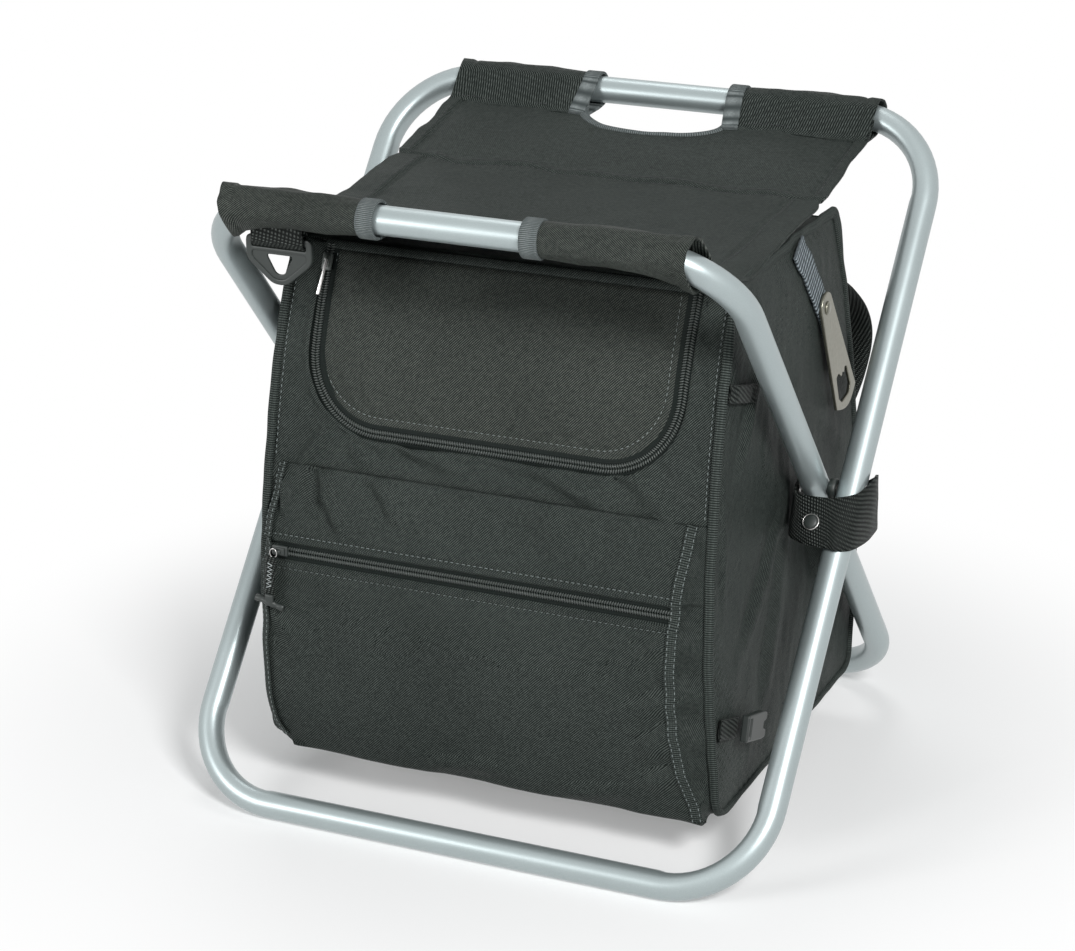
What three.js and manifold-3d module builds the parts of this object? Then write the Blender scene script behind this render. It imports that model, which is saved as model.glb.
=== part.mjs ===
// Folding cooler stool: two crossed tube loops, a cloth seat and an insulated bag.
// Millimetres, +Z up, +X to the sitter's right of the picture, front towards -Y.
// The origin is on the floor, under the middle of the stool.
import * as THREE from "three";
import { mergeVertices } from "three/addons/utils/BufferGeometryUtils.js";
import Module from "manifold-3d";

const wasm = await Module();
wasm.setup();

// Clearances and drawing steps
const GAP = 0.3;
const OVERRUN = 20;
const WELD = 0.001;
const TUBE_SIDES = 16;
const BORE_SIDES = 10;
const BEND_STEPS = 8;
const ROUND_STEPS = 5;
const PIN_SIDES = 18;
const PROFILE_STEPS = 16;

// Frame tubes
const TUBE_DIAMETER = 19;
const TUBE_WALL = 1.2;
const FOOT_FLAT = 0.4;
const LEG_ANGLE = THREE.MathUtils.degToRad(40.65);
const LEG_BELOW_PIVOT = 284.6;
const OUTER_LOOP_LENGTH = 559.9;
const INNER_LOOP_LENGTH = 556.8;
const OUTER_LOOP_WIDTH = 411;
const LEG_GAP = 5.7;
const BEND_RADIUS = 63.4;

// Pivot hardware
const RIVET_DIAMETER = 6;
const RIVET_HEAD_DIAMETER = 11;
const RIVET_HEAD_HEIGHT = 2.2;
const SPACER_DIAMETER = 14;
const HEAD_FACE_SHARE = 0.7;
const HEAD_RIM_SHARE = 0.4;

// Seat cloth, its sleeves and grey tape
const SEAT_OVERHANG = 2;
const SEAT_THICKNESS = 1.8;
const SEAT_SAG = 37;
const SEAT_SHAPE_SHARES = [
  [-0.93, 0.22], [-0.82, 0.48], [-0.62, 0.86], [-0.4, 1], [-0.12, 0.95],
  [0.06, 0.87], [0.36, 0.78], [0.62, 0.5], [0.82, 0.32], [0.93, 0.22],
];
const SLEEVE_CLEARANCE = 0.3;
const SLEEVE_THICKNESS = 2.4;
const RING_WIDTH = 11;
const HANDLE_WIDTH = 100;
const HANDLE_DEPTH = 48;
const TAPE_WIDTH = 6;
const HANDLE_CORNER_SHARE = 0.8;

// Strap ring under the front left sleeve
const TAB_WIDTH = 38;
const TAB_INSET = 31;
const TAB_THICKNESS = 1.3;
const TAB_BAR_DROP = 26;
const TAB_BAR_SETBACK = 12.5;
const RING_BAR = 3.4;
const DRING_WIDTH = 48;
const DRING_HEIGHT = 31;
const DRING_SIDE_SHARE = 0.48;
const DRING_TIP_SHARE = 0.2;
const DRING_EYE_SHARE = 0.14;
const DRING_RIM = 5;

// Cooler bag
const BAG_SEAT_CLEARANCE = 8.55;
const BAG_FLOOR_CLEARANCE = 36;
const BAG_SIDE_CLEARANCE = 6.3;
const BAG_TAPER = 7;
const BAG_TOP_HALF_DEPTH = 90;
const BAG_SHOULDER_HALF_DEPTH = 118;
const BAG_MIDDLE_HALF_DEPTH = 140;
const BAG_BELLY_HALF_DEPTH = 145;
const BAG_BOTTOM_HALF_DEPTH = 133;
const BAG_SHOULDER_SHARE = 0.817;
const BAG_MIDDLE_SHARE = 0.532;
const BAG_BELLY_SHARE = 0.29;
const BAG_TOP_ROUND = 8;
const BAG_BOTTOM_ROUND = 16;
const CLOTH = 1.5;
const FOAM = 4;
const LINER = 1.2;
const SEAM_STAND = 4;
const SEAM_WIDTH = 3;

// Flap and its zip
const FLAP_SIDE_MARGIN = 31.5;
const FLAP_TOP_DROP = 8;
const FLAP_HEIGHT = 105;
const FLAP_CORNER = 46;
const ZIP_WIDTH = 8;
const ZIP_STAND = 0.9;
const SLIDER_LENGTH = 12;
const SLIDER_WIDTH = 7.4;
const SLIDER_HEIGHT = 3.4;
const SLIDER_BRIDGE_HEIGHT = 2;
const SLIDER_BRIDGE_SHARE = 0.6;
const SLIDER_BRIDGE_WIDTH = 2.4;
const FLAP_SLIDER_DROP = 10;
const FLAP_PULL_LENGTH = 27;
const FLAP_PULL_WIDTH = 3.4;
const PULL_THICKNESS = 1.2;

// Front pocket and its zip
const POCKET_HEIGHT = 205;
const POCKET_BOTTOM_RISE = 2;
const POCKET_SIDE_MARGIN = 8;
const POCKET_STAND = 15;
const POCKET_STAND_SHARES = [
  [1, 0.12], [0.86, 0.6], [0.72, 0.86], [0.5, 1], [0.3, 0.98], [0.12, 0.88], [0, 0.74],
];
const POCKET_CLOTH = 1.4;
const POCKET_ZIP_DROP = 57;
const POCKET_ZIP_MARGIN = 11;
const BINDING_WIDTH = 8;
const BINDING_THICKNESS = 1;
const POCKET_PULL_LENGTH = 40;
const POCKET_PULL_WIDTH = 6;
const POCKET_PULL_THICKNESS = 1.6;
const TOGGLE_DIAMETER = 4.6;
const TOGGLE_LENGTH = 22;

// Pivot straps
const STRAP_TOP_DROP = 1.5;
const STRAP_HEIGHT = 29;
const STRAP_THICKNESS = 1.6;
const STRAP_LEG_CLEARANCE = 0.9;
const STRAP_SLACK = 9;
const STRAP_FOOT = 10;
const STRAP_CORNER = 5;
const STUD_DIAMETER = 11;
const STUD_HEIGHT = 2;
const STUD_REACH = 26;

// Rear carrying straps
const CARRY_WIDTH = 38;
const CARRY_THICKNESS = 1.6;
const CARRY_MARGIN = 4;
const CARRY_BULGE = 48;
const CARRY_ROUTE_SHARES = [
  [0.955, 0], [0.9, 0], [0.845, 0.03], [0.79, 0.55], [0.73, 0.92], [0.67, 1],
  [0.6, 0.72], [0.53, 0.22], [0.46, 0.02], [0.38, 0], [0.1, 0],
];

// Side webbing, buckle halves, opener
const SIDE_TAB_LENGTH = 26;
const SIDE_TAB_HEIGHT = 13;
const SIDE_TAB_DROP = 70;
const SIDE_TAB_Y = -88;
const WEBBING_THICKNESS = 1.5;
const BUCKLE_WEB_LENGTH = 47;
const BUCKLE_WEB_HEIGHT = 15;
const BUCKLE_SLOPE = THREE.MathUtils.degToRad(24);
const BUCKLE_START_Y = -134;
const BUCKLE_RISE = 65;
const BUCKLE_LENGTH = 38;
const BUCKLE_HEIGHT = 19;
const BUCKLE_THICKNESS = 5;
const BUCKLE_MOUTH_DEPTH = 14;
const BUCKLE_MOUTH_HEIGHT = 12;
const BUCKLE_MOUTH_THICKNESS = 2.6;
const RIBBED_WIDTH = 20;
const RIBBED_LENGTH = 60;
const RIBBED_THICKNESS = 2.7;
const OPENER_THICKNESS = 2.5;
const OPENER_Y = 60;
const OPENER_DROP = 56;
const RIBBED_LEAN = THREE.MathUtils.degToRad(30);
const OPENER_LEAN = THREE.MathUtils.degToRad(19.4);
const OPENER_TOP_HALF_WIDTH = 11;
const OPENER_BOTTOM_HALF_WIDTH = 20;
const OPENER_REACH = 91;
const OPENER_TIP_SAG = 9;
const OPENER_MOUTH_TOP = 52;
const OPENER_MOUTH_BOTTOM = 79;
const OPENER_MOUTH_HALF_WIDTH = 12.5;
const OPENER_RIVET_DIAMETER = 5;
const OPENER_RIVET_HEAD = 10;
const OPENER_RIVET_DOME = 1.2;
const OPENER_RIVET_FACE_SHARE = 0.8;
const OPENER_LIP_SHARE = 0.9;
const OPENER_STEP_SHARE = 0.6;
const OPENER_TOOTH_SHARE = 1.05;
const OPENER_CHEEK_SHARE = 0.94;

// Sizes that follow from the ones above
const TUBE_RADIUS = TUBE_DIAMETER / 2;
const PIVOT_Z = LEG_BELOW_PIVOT * Math.cos(LEG_ANGLE) + TUBE_RADIUS - FOOT_FLAT;
const OUTER_RAIL_ABOVE = OUTER_LOOP_LENGTH - LEG_BELOW_PIVOT;
const INNER_RAIL_ABOVE = INNER_LOOP_LENGTH - LEG_BELOW_PIVOT;
const SLEEVE_RADIUS = TUBE_RADIUS + SLEEVE_CLEARANCE + SLEEVE_THICKNESS;
const SLEEVE_BORE_RADIUS = TUBE_RADIUS + SLEEVE_CLEARANCE;
const FRONT_RAIL_Z = PIVOT_Z + INNER_RAIL_ABOVE * Math.cos(LEG_ANGLE);
const INNER_LOOP_WIDTH = OUTER_LOOP_WIDTH - 2 * (TUBE_DIAMETER + LEG_GAP);
const BAG_TOP_Z = FRONT_RAIL_Z - SEAT_SAG - BAG_SEAT_CLEARANCE;
const BAG_BOTTOM_Z = BAG_FLOOR_CLEARANCE;
const BAG_BOTTOM_HALF_WIDTH = INNER_LOOP_WIDTH / 2 - TUBE_RADIUS - BAG_SIDE_CLEARANCE;
const BAG_TOP_HALF_WIDTH = BAG_BOTTOM_HALF_WIDTH - BAG_TAPER;
const SEAT_WIDTH = 2 * (BAG_TOP_HALF_WIDTH + SEAT_OVERHANG);
const TAB_CENTRE_X = TAB_INSET - SEAT_WIDTH / 2;
const BAG_HEIGHT = BAG_TOP_Z - BAG_BOTTOM_Z;
const FLAP_HALF_WIDTH = BAG_TOP_HALF_WIDTH - FLAP_SIDE_MARGIN;
const POCKET_HALF_WIDTH = BAG_TOP_HALF_WIDTH - POCKET_SIDE_MARGIN;
const POCKET_ZIP_HALF_WIDTH = POCKET_HALF_WIDTH - POCKET_ZIP_MARGIN;
const POCKET_TOP_Z = BAG_BOTTOM_Z + POCKET_BOTTOM_RISE + POCKET_HEIGHT;
const OPENER_Z = BAG_TOP_Z - OPENER_DROP;
const SIDE_TAB_Z = BAG_TOP_Z - SIDE_TAB_DROP;
const BUCKLE_START_Z = BAG_BOTTOM_Z + BUCKLE_RISE;
const FLAP_TOP_Z = BAG_TOP_Z - FLAP_TOP_DROP;
const FLAP_BOTTOM_Z = FLAP_TOP_Z - FLAP_HEIGHT;
const WALL = CLOTH + GAP + FOAM + GAP + LINER;
const RIVET_RADIUS = RIVET_DIAMETER / 2;

// Finishes
const finish = (color, roughness, metalness) => ({ color, roughness, metalness });
const PAINT = finish(0xb9c1c6, 0.32, 0.7);
const STEEL = finish(0xa9a69c, 0.35, 1);
const BLACK_CLOTH = finish(0x1c1d1f, 0.85, 0);
const GREY_TAPE = finish(0x77797c, 0.9, 0);
const BLACK_TAPE = finish(0x17181a, 0.85, 0);
const WEBBING = finish(0x141516, 0.9, 0);
const GREY_WEBBING = finish(0x70757c, 0.85, 0);
const PLASTIC = finish(0x26282b, 0.5, 0);
const ZIP_BLACK = finish(0x101112, 0.45, 0);
const FOAM_WHITE = finish(0xd8d8d4, 0.95, 0);
const LINER_GREY = finish(0xb4b8bb, 0.4, 0.2);

const stool = new THREE.Group();

// Turning three.js geometry into closed solids and back
function solid(geometry) {
  const bare = geometry.index ? geometry.toNonIndexed() : geometry.clone();
  bare.deleteAttribute("normal");
  bare.deleteAttribute("uv");
  const merged = mergeVertices(bare, WELD);
  return new wasm.Manifold(new wasm.Mesh({
    numProp: 3,
    vertProperties: new Float32Array(merged.attributes.position.array),
    triVerts: new Uint32Array(merged.index.array),
  }));
}

function geometryOf(body) {
  const mesh = body.getMesh();
  const geometry = new THREE.BufferGeometry();
  geometry.setAttribute("position", new THREE.BufferAttribute(mesh.vertProperties, 3));
  geometry.setIndex(new THREE.BufferAttribute(mesh.triVerts, 1));
  return geometry;
}

function add(name, body, look, parent = stool) {
  const geometry = body.isBufferGeometry ? body : geometryOf(body);
  geometry.computeVertexNormals();
  const mesh = new THREE.Mesh(geometry, new THREE.MeshStandardMaterial(look));
  mesh.name = name;
  parent.add(mesh);
  return mesh;
}

// A drawing in a plane becomes a solid: across the stool, out of its front, or straight up
const ACROSS = new THREE.Matrix4().makeBasis(
  new THREE.Vector3(0, 1, 0), new THREE.Vector3(0, 0, 1), new THREE.Vector3(1, 0, 0));
const FORWARD = new THREE.Matrix4().makeBasis(
  new THREE.Vector3(1, 0, 0), new THREE.Vector3(0, 0, 1), new THREE.Vector3(0, -1, 0));

function extruded(shape, depth) {
  const settings = { depth, bevelEnabled: false, curveSegments: ROUND_STEPS };
  return new THREE.ExtrudeGeometry(shape, settings);
}

function across(shape, width, centre = 0) {
  return extruded(shape, width).applyMatrix4(ACROSS).translate(centre - width / 2, 0, 0);
}

function forward(shape, depth, backY = 0) {
  return extruded(shape, depth).applyMatrix4(FORWARD).translate(0, backY, 0);
}

function rectangle(left, right, low, high) {
  const shape = new THREE.Shape();
  shape.moveTo(left, low);
  shape.lineTo(right, low);
  shape.lineTo(right, high);
  shape.lineTo(left, high);
  shape.closePath();
  return shape;
}

// A band of even thickness on the left of a line of points
function band(points, thickness) {
  const outer = points.map((point, index) => {
    const before = points[Math.max(index - 1, 0)];
    const after = points[Math.min(index + 1, points.length - 1)];
    const along = after.clone().sub(before).normalize();
    return new THREE.Vector2(-along.y, along.x).multiplyScalar(thickness).add(point);
  });
  return new THREE.Shape([...points, ...outer.reverse()]);
}

function turned(profile, sides = PIN_SIDES) {
  return new THREE.LatheGeometry(profile.map(([r, h]) => new THREE.Vector2(r, h)), sides);
}

// A loop of tube with four round corners, lying in the plane of its legs.
// Straight runs take one step, and each corner takes the same few steps.
class RoundedLoop extends THREE.Curve {
  constructor(width, low, high, radius) {
    super();
    Object.assign(this, { width, low, high, radius });
  }

  getPoint(t, target = new THREE.Vector3()) {
    const span = BEND_STEPS + 1;
    const place = (t % 1) * 4 * span;
    const corner = Math.floor(place / span);
    const step = place - corner * span;
    const onBend = Math.min(step, BEND_STEPS);
    const start = this.bendPoint(corner, onBend / BEND_STEPS);
    if (step <= BEND_STEPS) {
      return target.copy(start);
    }
    const next = this.bendPoint((corner + 1) % 4, 0);
    return target.copy(start).lerp(next, step - BEND_STEPS);
  }

  bendPoint(corner, share) {
    const angle = (corner + share) * Math.PI / 2;
    const sideX = corner === 0 || corner === 3 ? 1 : -1;
    const sideZ = corner < 2 ? 1 : -1;
    const centreX = sideX * (this.width / 2 - this.radius);
    const centreZ = sideZ > 0 ? this.high - this.radius : this.low + this.radius;
    const x = centreX + this.radius * Math.cos(angle);
    const z = centreZ + this.radius * Math.sin(angle);
    return new THREE.Vector3(x, 0, z);
  }

  getUtoTmapping(u) {
    return u;
  }
}

// Frame: each loop stands in a group turned about the pivot axis
function frameGroup(turn) {
  const group = new THREE.Group();
  group.position.set(0, 0, PIVOT_Z);
  group.rotation.x = turn;
  group.updateMatrix();
  stool.add(group);
  return group;
}

const outerFrame = frameGroup(-LEG_ANGLE);
const innerFrame = frameGroup(LEG_ANGLE);

function loopSweep(width, railAbove, radius, sides = TUBE_SIDES) {
  const path = new RoundedLoop(width, -LEG_BELOW_PIVOT, railAbove, BEND_RADIUS);
  return new THREE.TubeGeometry(path, 4 * (BEND_STEPS + 1), radius, sides, true);
}

function tubeLoop(width, railAbove, group) {
  const skin = solid(loopSweep(width, railAbove, TUBE_RADIUS));
  const bore = solid(loopSweep(width, railAbove, TUBE_RADIUS - TUBE_WALL, BORE_SIDES));
  const drillLength = width + TUBE_DIAMETER + OVERRUN;
  const drill = new THREE.CylinderGeometry(
    RIVET_RADIUS + GAP, RIVET_RADIUS + GAP, drillLength, PIN_SIDES);
  const reach = 2 * (width + LEG_BELOW_PIVOT);
  const floor = new THREE.BoxGeometry(reach, reach, OVERRUN);
  floor.translate(0, 0, -OVERRUN / 2).applyMatrix4(group.matrix.clone().invert());
  return skin.subtract(bore).subtract(solid(drill.rotateZ(Math.PI / 2))).subtract(solid(floor));
}

add("outer_frame_tube", tubeLoop(OUTER_LOOP_WIDTH, OUTER_RAIL_ABOVE, outerFrame), PAINT, outerFrame);
add("inner_frame_tube", tubeLoop(INNER_LOOP_WIDTH, INNER_RAIL_ABOVE, innerFrame), PAINT, innerFrame);

// Pivot rivets pass through both tubes, with a spacer between them
function pivotRivet() {
  const inside = INNER_LOOP_WIDTH / 2 - TUBE_RADIUS - GAP;
  const outside = OUTER_LOOP_WIDTH / 2 + TUBE_RADIUS + GAP;
  const head = RIVET_HEAD_DIAMETER / 2;
  const face = head * HEAD_FACE_SHARE;
  const rim = RIVET_HEAD_HEIGHT * HEAD_RIM_SHARE;
  return turned([
    [0, inside - RIVET_HEAD_HEIGHT], [face, inside - RIVET_HEAD_HEIGHT],
    [head, inside - rim], [head, inside], [RIVET_RADIUS, inside],
    [RIVET_RADIUS, outside], [head, outside], [head, outside + rim],
    [face, outside + RIVET_HEAD_HEIGHT], [0, outside + RIVET_HEAD_HEIGHT],
  ]);
}

function pivotSpacer() {
  const start = INNER_LOOP_WIDTH / 2 + TUBE_RADIUS + GAP;
  const end = OUTER_LOOP_WIDTH / 2 - TUBE_RADIUS - GAP;
  const bore = RIVET_RADIUS + GAP;
  const rim = SPACER_DIAMETER / 2;
  return turned([[bore, start], [rim, start], [rim, end], [bore, end], [bore, start]]);
}

for (const [sideName, side] of [["right", 1], ["left", -1]]) {
  for (const [name, geometry, look] of [
    ["pivot_rivet", pivotRivet(), STEEL], ["pivot_spacer", pivotSpacer(), PLASTIC]]) {
    geometry.rotateZ(-side * Math.PI / 2);
    const mesh = add(`${name}_${sideName}`, solid(geometry), look);
    mesh.position.z = PIVOT_Z;
  }
}

// Seat sleeves and grey rings: a jacket round each rail, cut to length
const sleeveStart = HANDLE_WIDTH / 2 + RING_WIDTH + GAP;
const railClears = [];

function jacketPart(jacket, startX, endX, railZ, side) {
  const slab = new THREE.BoxGeometry(endX - startX, 2 * BEND_RADIUS, 2 * BEND_RADIUS);
  return jacket.intersect(solid(slab.translate(side * (startX + endX) / 2, 0, railZ)));
}

for (const [place, group, loopWidth, railZ] of [
  ["rear", outerFrame, OUTER_LOOP_WIDTH, OUTER_RAIL_ABOVE],
  ["front", innerFrame, INNER_LOOP_WIDTH, INNER_RAIL_ABOVE]]) {
  const jacket = solid(loopSweep(loopWidth, railZ, SLEEVE_RADIUS))
    .subtract(solid(loopSweep(loopWidth, railZ, SLEEVE_BORE_RADIUS)));
  const clear = loopSweep(loopWidth, railZ, SLEEVE_RADIUS + GAP).applyMatrix4(group.matrix);
  railClears.push(solid(clear));
  for (const [sideName, side] of [["right", 1], ["left", -1]]) {
    const sleeve = jacketPart(jacket, sleeveStart, SEAT_WIDTH / 2, railZ, side);
    add(`${place}_sleeve_${sideName}`, sleeve, BLACK_CLOTH, group);
    const ring = jacketPart(jacket, HANDLE_WIDTH / 2, sleeveStart - GAP, railZ, side);
    add(`${place}_ring_${sideName}`, ring, GREY_TAPE, group);
  }
}

// Seat cloth: a sagging sheet between the rails with a hand opening at each end
const rearRailY = OUTER_RAIL_ABOVE * Math.sin(LEG_ANGLE);
const rearRailZ = PIVOT_Z + OUTER_RAIL_ABOVE * Math.cos(LEG_ANGLE);
const frontRailY = -INNER_RAIL_ABOVE * Math.sin(LEG_ANGLE);
const sheetEdge = SLEEVE_RADIUS + GAP;

function seatPoints() {
  const middleY = (rearRailY + frontRailY) / 2;
  const halfSpan = (rearRailY - frontRailY) / 2 - sheetEdge;
  const points = SEAT_SHAPE_SHARES.map(([along, down]) => new THREE.Vector2(
    middleY + halfSpan * along, FRONT_RAIL_Z - SEAT_SAG * down));
  const rearEdge = new THREE.Vector2(rearRailY - sheetEdge, rearRailZ);
  const frontEdge = new THREE.Vector2(frontRailY + sheetEdge, FRONT_RAIL_Z);
  return new THREE.SplineCurve([frontEdge, ...points, rearEdge]).getPoints(2 * PROFILE_STEPS);
}

function handleOutline(margin) {
  const half = HANDLE_WIDTH / 2 + RING_WIDTH / 2 + margin;
  const depth = HANDLE_DEPTH + margin;
  const shape = new THREE.Shape();
  shape.moveTo(-half, 0);
  const turn = half * HANDLE_CORNER_SHARE;
  shape.bezierCurveTo(-half, -depth, -turn, -depth, 0, -depth);
  shape.bezierCurveTo(turn, -depth, half, -depth, half, 0);
  shape.lineTo(half, OVERRUN);
  shape.lineTo(-half, OVERRUN);
  shape.closePath();
  return shape;
}

function handleCut(margin, rear) {
  const cut = extruded(handleOutline(margin), 2 * SEAT_SAG);
  cut.rotateZ(rear ? 0 : Math.PI);
  return solid(cut.translate(0, rear ? rearRailY : frontRailY, FRONT_RAIL_Z - 2 * SEAT_SAG + OVERRUN));
}

const seatBand = railClears.reduce(
  (rest, clear) => rest.subtract(clear),
  solid(across(band(seatPoints(), -SEAT_THICKNESS), SEAT_WIDTH)));
let seatPanel = seatBand;
for (const [place, rear] of [["rear", true], ["front", false]]) {
  seatPanel = seatPanel.subtract(handleCut(TAPE_WIDTH + GAP, rear));
  const tape = seatBand.intersect(handleCut(TAPE_WIDTH, rear)).subtract(handleCut(0, rear));
  add(`${place}_handle_tape`, tape, GREY_TAPE);
}
add("seat_panel", seatPanel, BLACK_CLOTH);

// Strap ring: webbing sewn under the front left sleeve holds the ring's bar
const tabBarY = frontRailY + TAB_BAR_SETBACK;
const tabBarZ = FRONT_RAIL_Z - TAB_BAR_DROP;
const tabInside = RING_BAR * Math.SQRT1_2 + GAP;

function tabWebbing() {
  const path = new THREE.Path();
  path.moveTo(tabInside, TAB_BAR_DROP);
  path.lineTo(tabInside, 0);
  path.absarc(0, 0, tabInside, 0, -Math.PI, true);
  path.lineTo(-tabInside, TAB_BAR_DROP);
  const strip = across(band(path.getPoints(ROUND_STEPS), TAB_THICKNESS), TAB_WIDTH);
  strip.translate(TAB_CENTRE_X, tabBarY, tabBarZ);
  const high = new THREE.BoxGeometry(DRING_WIDTH, 2 * OVERRUN, OVERRUN);
  high.translate(TAB_CENTRE_X, tabBarY, FRONT_RAIL_Z - TUBE_RADIUS + OVERRUN / 2);
  return solid(strip).subtract(railClears[1]).subtract(solid(high));
}

function strapRing() {
  const half = DRING_WIDTH / 2;
  const tip = half * DRING_TIP_SHARE;
  const barTop = RING_BAR / 2;
  const shoulder = barTop - DRING_HEIGHT * DRING_SIDE_SHARE;
  const foot = barTop - DRING_HEIGHT;
  const shape = new THREE.Shape();
  shape.moveTo(-half, barTop);
  shape.lineTo(-half, shoulder);
  shape.lineTo(-tip, foot);
  shape.lineTo(tip, foot);
  shape.lineTo(half, shoulder);
  shape.lineTo(half, barTop);
  shape.closePath();
  const slotHalf = TAB_WIDTH / 2 + GAP;
  const slotLow = -(tabInside + TAB_THICKNESS + DRING_RIM / 2);
  shape.holes.push(new THREE.Path(rectangle(-slotHalf, slotHalf, slotLow, -barTop).getPoints()));
  const eyeTop = slotLow - DRING_RIM / 2;
  const eyeTip = half * DRING_EYE_SHARE;
  const eye = new THREE.Path();
  eye.moveTo(-half / 2, eyeTop);
  eye.lineTo(half / 2, eyeTop);
  eye.lineTo(eyeTip, foot + DRING_RIM);
  eye.lineTo(-eyeTip, foot + DRING_RIM);
  eye.closePath();
  shape.holes.push(eye);
  return solid(forward(shape, RING_BAR, RING_BAR / 2));
}

add("strap_ring_tab", tabWebbing(), WEBBING);
add("strap_ring", strapRing(), PLASTIC).position.set(TAB_CENTRE_X, tabBarY, tabBarZ);

// Bag profile, the same at front and rear, and the bag's taper in width
const profilePoints = new THREE.SplineCurve([
  new THREE.Vector2(BAG_BOTTOM_HALF_DEPTH, BAG_BOTTOM_Z),
  new THREE.Vector2(BAG_BELLY_HALF_DEPTH, BAG_BOTTOM_Z + BAG_BELLY_SHARE * BAG_HEIGHT),
  new THREE.Vector2(BAG_MIDDLE_HALF_DEPTH, BAG_BOTTOM_Z + BAG_MIDDLE_SHARE * BAG_HEIGHT),
  new THREE.Vector2(BAG_SHOULDER_HALF_DEPTH, BAG_BOTTOM_Z + BAG_SHOULDER_SHARE * BAG_HEIGHT),
  new THREE.Vector2(BAG_TOP_HALF_DEPTH, BAG_TOP_Z),
]).getPoints(PROFILE_STEPS);

function depthAt(z) {
  const upper = Math.max(profilePoints.findIndex((point) => point.y >= z), 1);
  const low = profilePoints[upper - 1];
  const high = profilePoints[upper];
  return THREE.MathUtils.mapLinear(z, low.y, high.y, low.x, high.x);
}

function halfWidthAt(z) {
  return THREE.MathUtils.mapLinear(
    z, BAG_BOTTOM_Z, BAG_TOP_Z, BAG_BOTTOM_HALF_WIDTH, BAG_TOP_HALF_WIDTH);
}

// How far out a piece stands that lies flat on the bag's side between two heights
function besideBag(lowZ, highZ) {
  return Math.max(halfWidthAt(lowZ), halfWidthAt(highZ)) + GAP;
}

// The widening is a straight scale of x by height, so flat sides stay flat
function widened(geometry) {
  const position = geometry.attributes.position;
  for (let index = 0; index < position.count; index += 1) {
    const grow = halfWidthAt(position.getZ(index)) / BAG_TOP_HALF_WIDTH;
    position.setX(index, position.getX(index) * grow);
  }
  return geometry;
}

function bagOutline(inset) {
  const high = BAG_TOP_Z - inset;
  const low = BAG_BOTTOM_Z + inset;
  const topRound = Math.max(BAG_TOP_ROUND - inset, CLOTH);
  const lowRound = Math.max(BAG_BOTTOM_ROUND - inset, CLOTH);
  const wall = profilePoints.filter(({ y }) => y > low + lowRound && y < high - topRound);
  const ends = [low + lowRound, high - topRound].map((z) => new THREE.Vector2(depthAt(z), z));
  const rising = [ends[0], ...wall, ends[1]];
  const shape = new THREE.Shape();
  shape.moveTo(-(ends[0].x - inset), ends[0].y);
  rising.slice(1).forEach(({ x, y }) => shape.lineTo(-(x - inset), y));
  const topDepth = depthAt(BAG_TOP_Z) - inset;
  const lowDepth = depthAt(BAG_BOTTOM_Z) - inset;
  shape.quadraticCurveTo(-topDepth, high, topRound - topDepth, high);
  shape.lineTo(topDepth - topRound, high);
  shape.quadraticCurveTo(topDepth, high, ends[1].x - inset, ends[1].y);
  rising.slice(0, -1).reverse().forEach(({ x, y }) => shape.lineTo(x - inset, y));
  shape.quadraticCurveTo(lowDepth, low, lowDepth - lowRound, low);
  shape.lineTo(lowRound - lowDepth, low);
  shape.quadraticCurveTo(-lowDepth, low, -(ends[0].x - inset), ends[0].y);
  return shape;
}

function bagBlock(inset, width) {
  return solid(widened(across(bagOutline(inset), width)));
}

// A flap-shaped prism out of the bag's front: straight sides and two round corners
function flapPrism(margin, topZ = FLAP_TOP_Z) {
  const half = FLAP_HALF_WIDTH + margin;
  const low = FLAP_BOTTOM_Z - margin;
  const round = FLAP_CORNER + margin;
  const shape = new THREE.Shape();
  shape.moveTo(half, topZ);
  shape.lineTo(-half, topZ);
  shape.lineTo(-half, low + round);
  shape.absarc(round - half, low + round, round, Math.PI, 1.5 * Math.PI);
  shape.lineTo(half - round, low);
  shape.absarc(half - round, low + round, round, -0.5 * Math.PI, 0);
  shape.closePath();
  return solid(forward(shape, BAG_BELLY_HALF_DEPTH + OVERRUN, -BAG_TOP_HALF_DEPTH / 2));
}

// Cloth panels: two sides, and a wrap that is cut at its four long edges
const wrapWidth = 2 * (BAG_TOP_HALF_WIDTH - CLOTH - GAP);
const bagWrap = bagBlock(0, wrapWidth).subtract(bagBlock(CLOTH, wrapWidth + OVERRUN));
const bagMiddleZ = (BAG_TOP_Z + BAG_BOTTOM_Z) / 2;

function sector(first, second, shiftY, shiftZ) {
  const shape = new THREE.Shape();
  shape.moveTo(0, bagMiddleZ);
  for (const [y, z] of [first, second]) {
    shape.lineTo(2 * y, bagMiddleZ + 2 * (z - bagMiddleZ));
  }
  shape.closePath();
  const reach = 2 * BAG_BOTTOM_HALF_WIDTH + OVERRUN;
  return solid(across(shape, reach).translate(0, shiftY, shiftZ));
}

const topFront = [-BAG_TOP_HALF_DEPTH, BAG_TOP_Z];
const topRear = [BAG_TOP_HALF_DEPTH, BAG_TOP_Z];
const lowFront = [-BAG_BOTTOM_HALF_DEPTH, BAG_BOTTOM_Z];
const lowRear = [BAG_BOTTOM_HALF_DEPTH, BAG_BOTTOM_Z];
const frontCloth = bagWrap.intersect(sector(topFront, lowFront, -GAP, 0));
const zipTop = FLAP_TOP_Z + GAP;
add("bag_front_panel", frontCloth.subtract(flapPrism(ZIP_WIDTH + GAP, zipTop)), BLACK_CLOTH);
add("bag_rear_panel", bagWrap.intersect(sector(lowRear, topRear, GAP, 0)), BLACK_CLOTH);
add("bag_top_panel", bagWrap.intersect(sector(topRear, topFront, 0, GAP)), BLACK_CLOTH);
add("bag_bottom_panel", bagWrap.intersect(sector(lowFront, lowRear, 0, -GAP)), BLACK_CLOTH);
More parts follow.
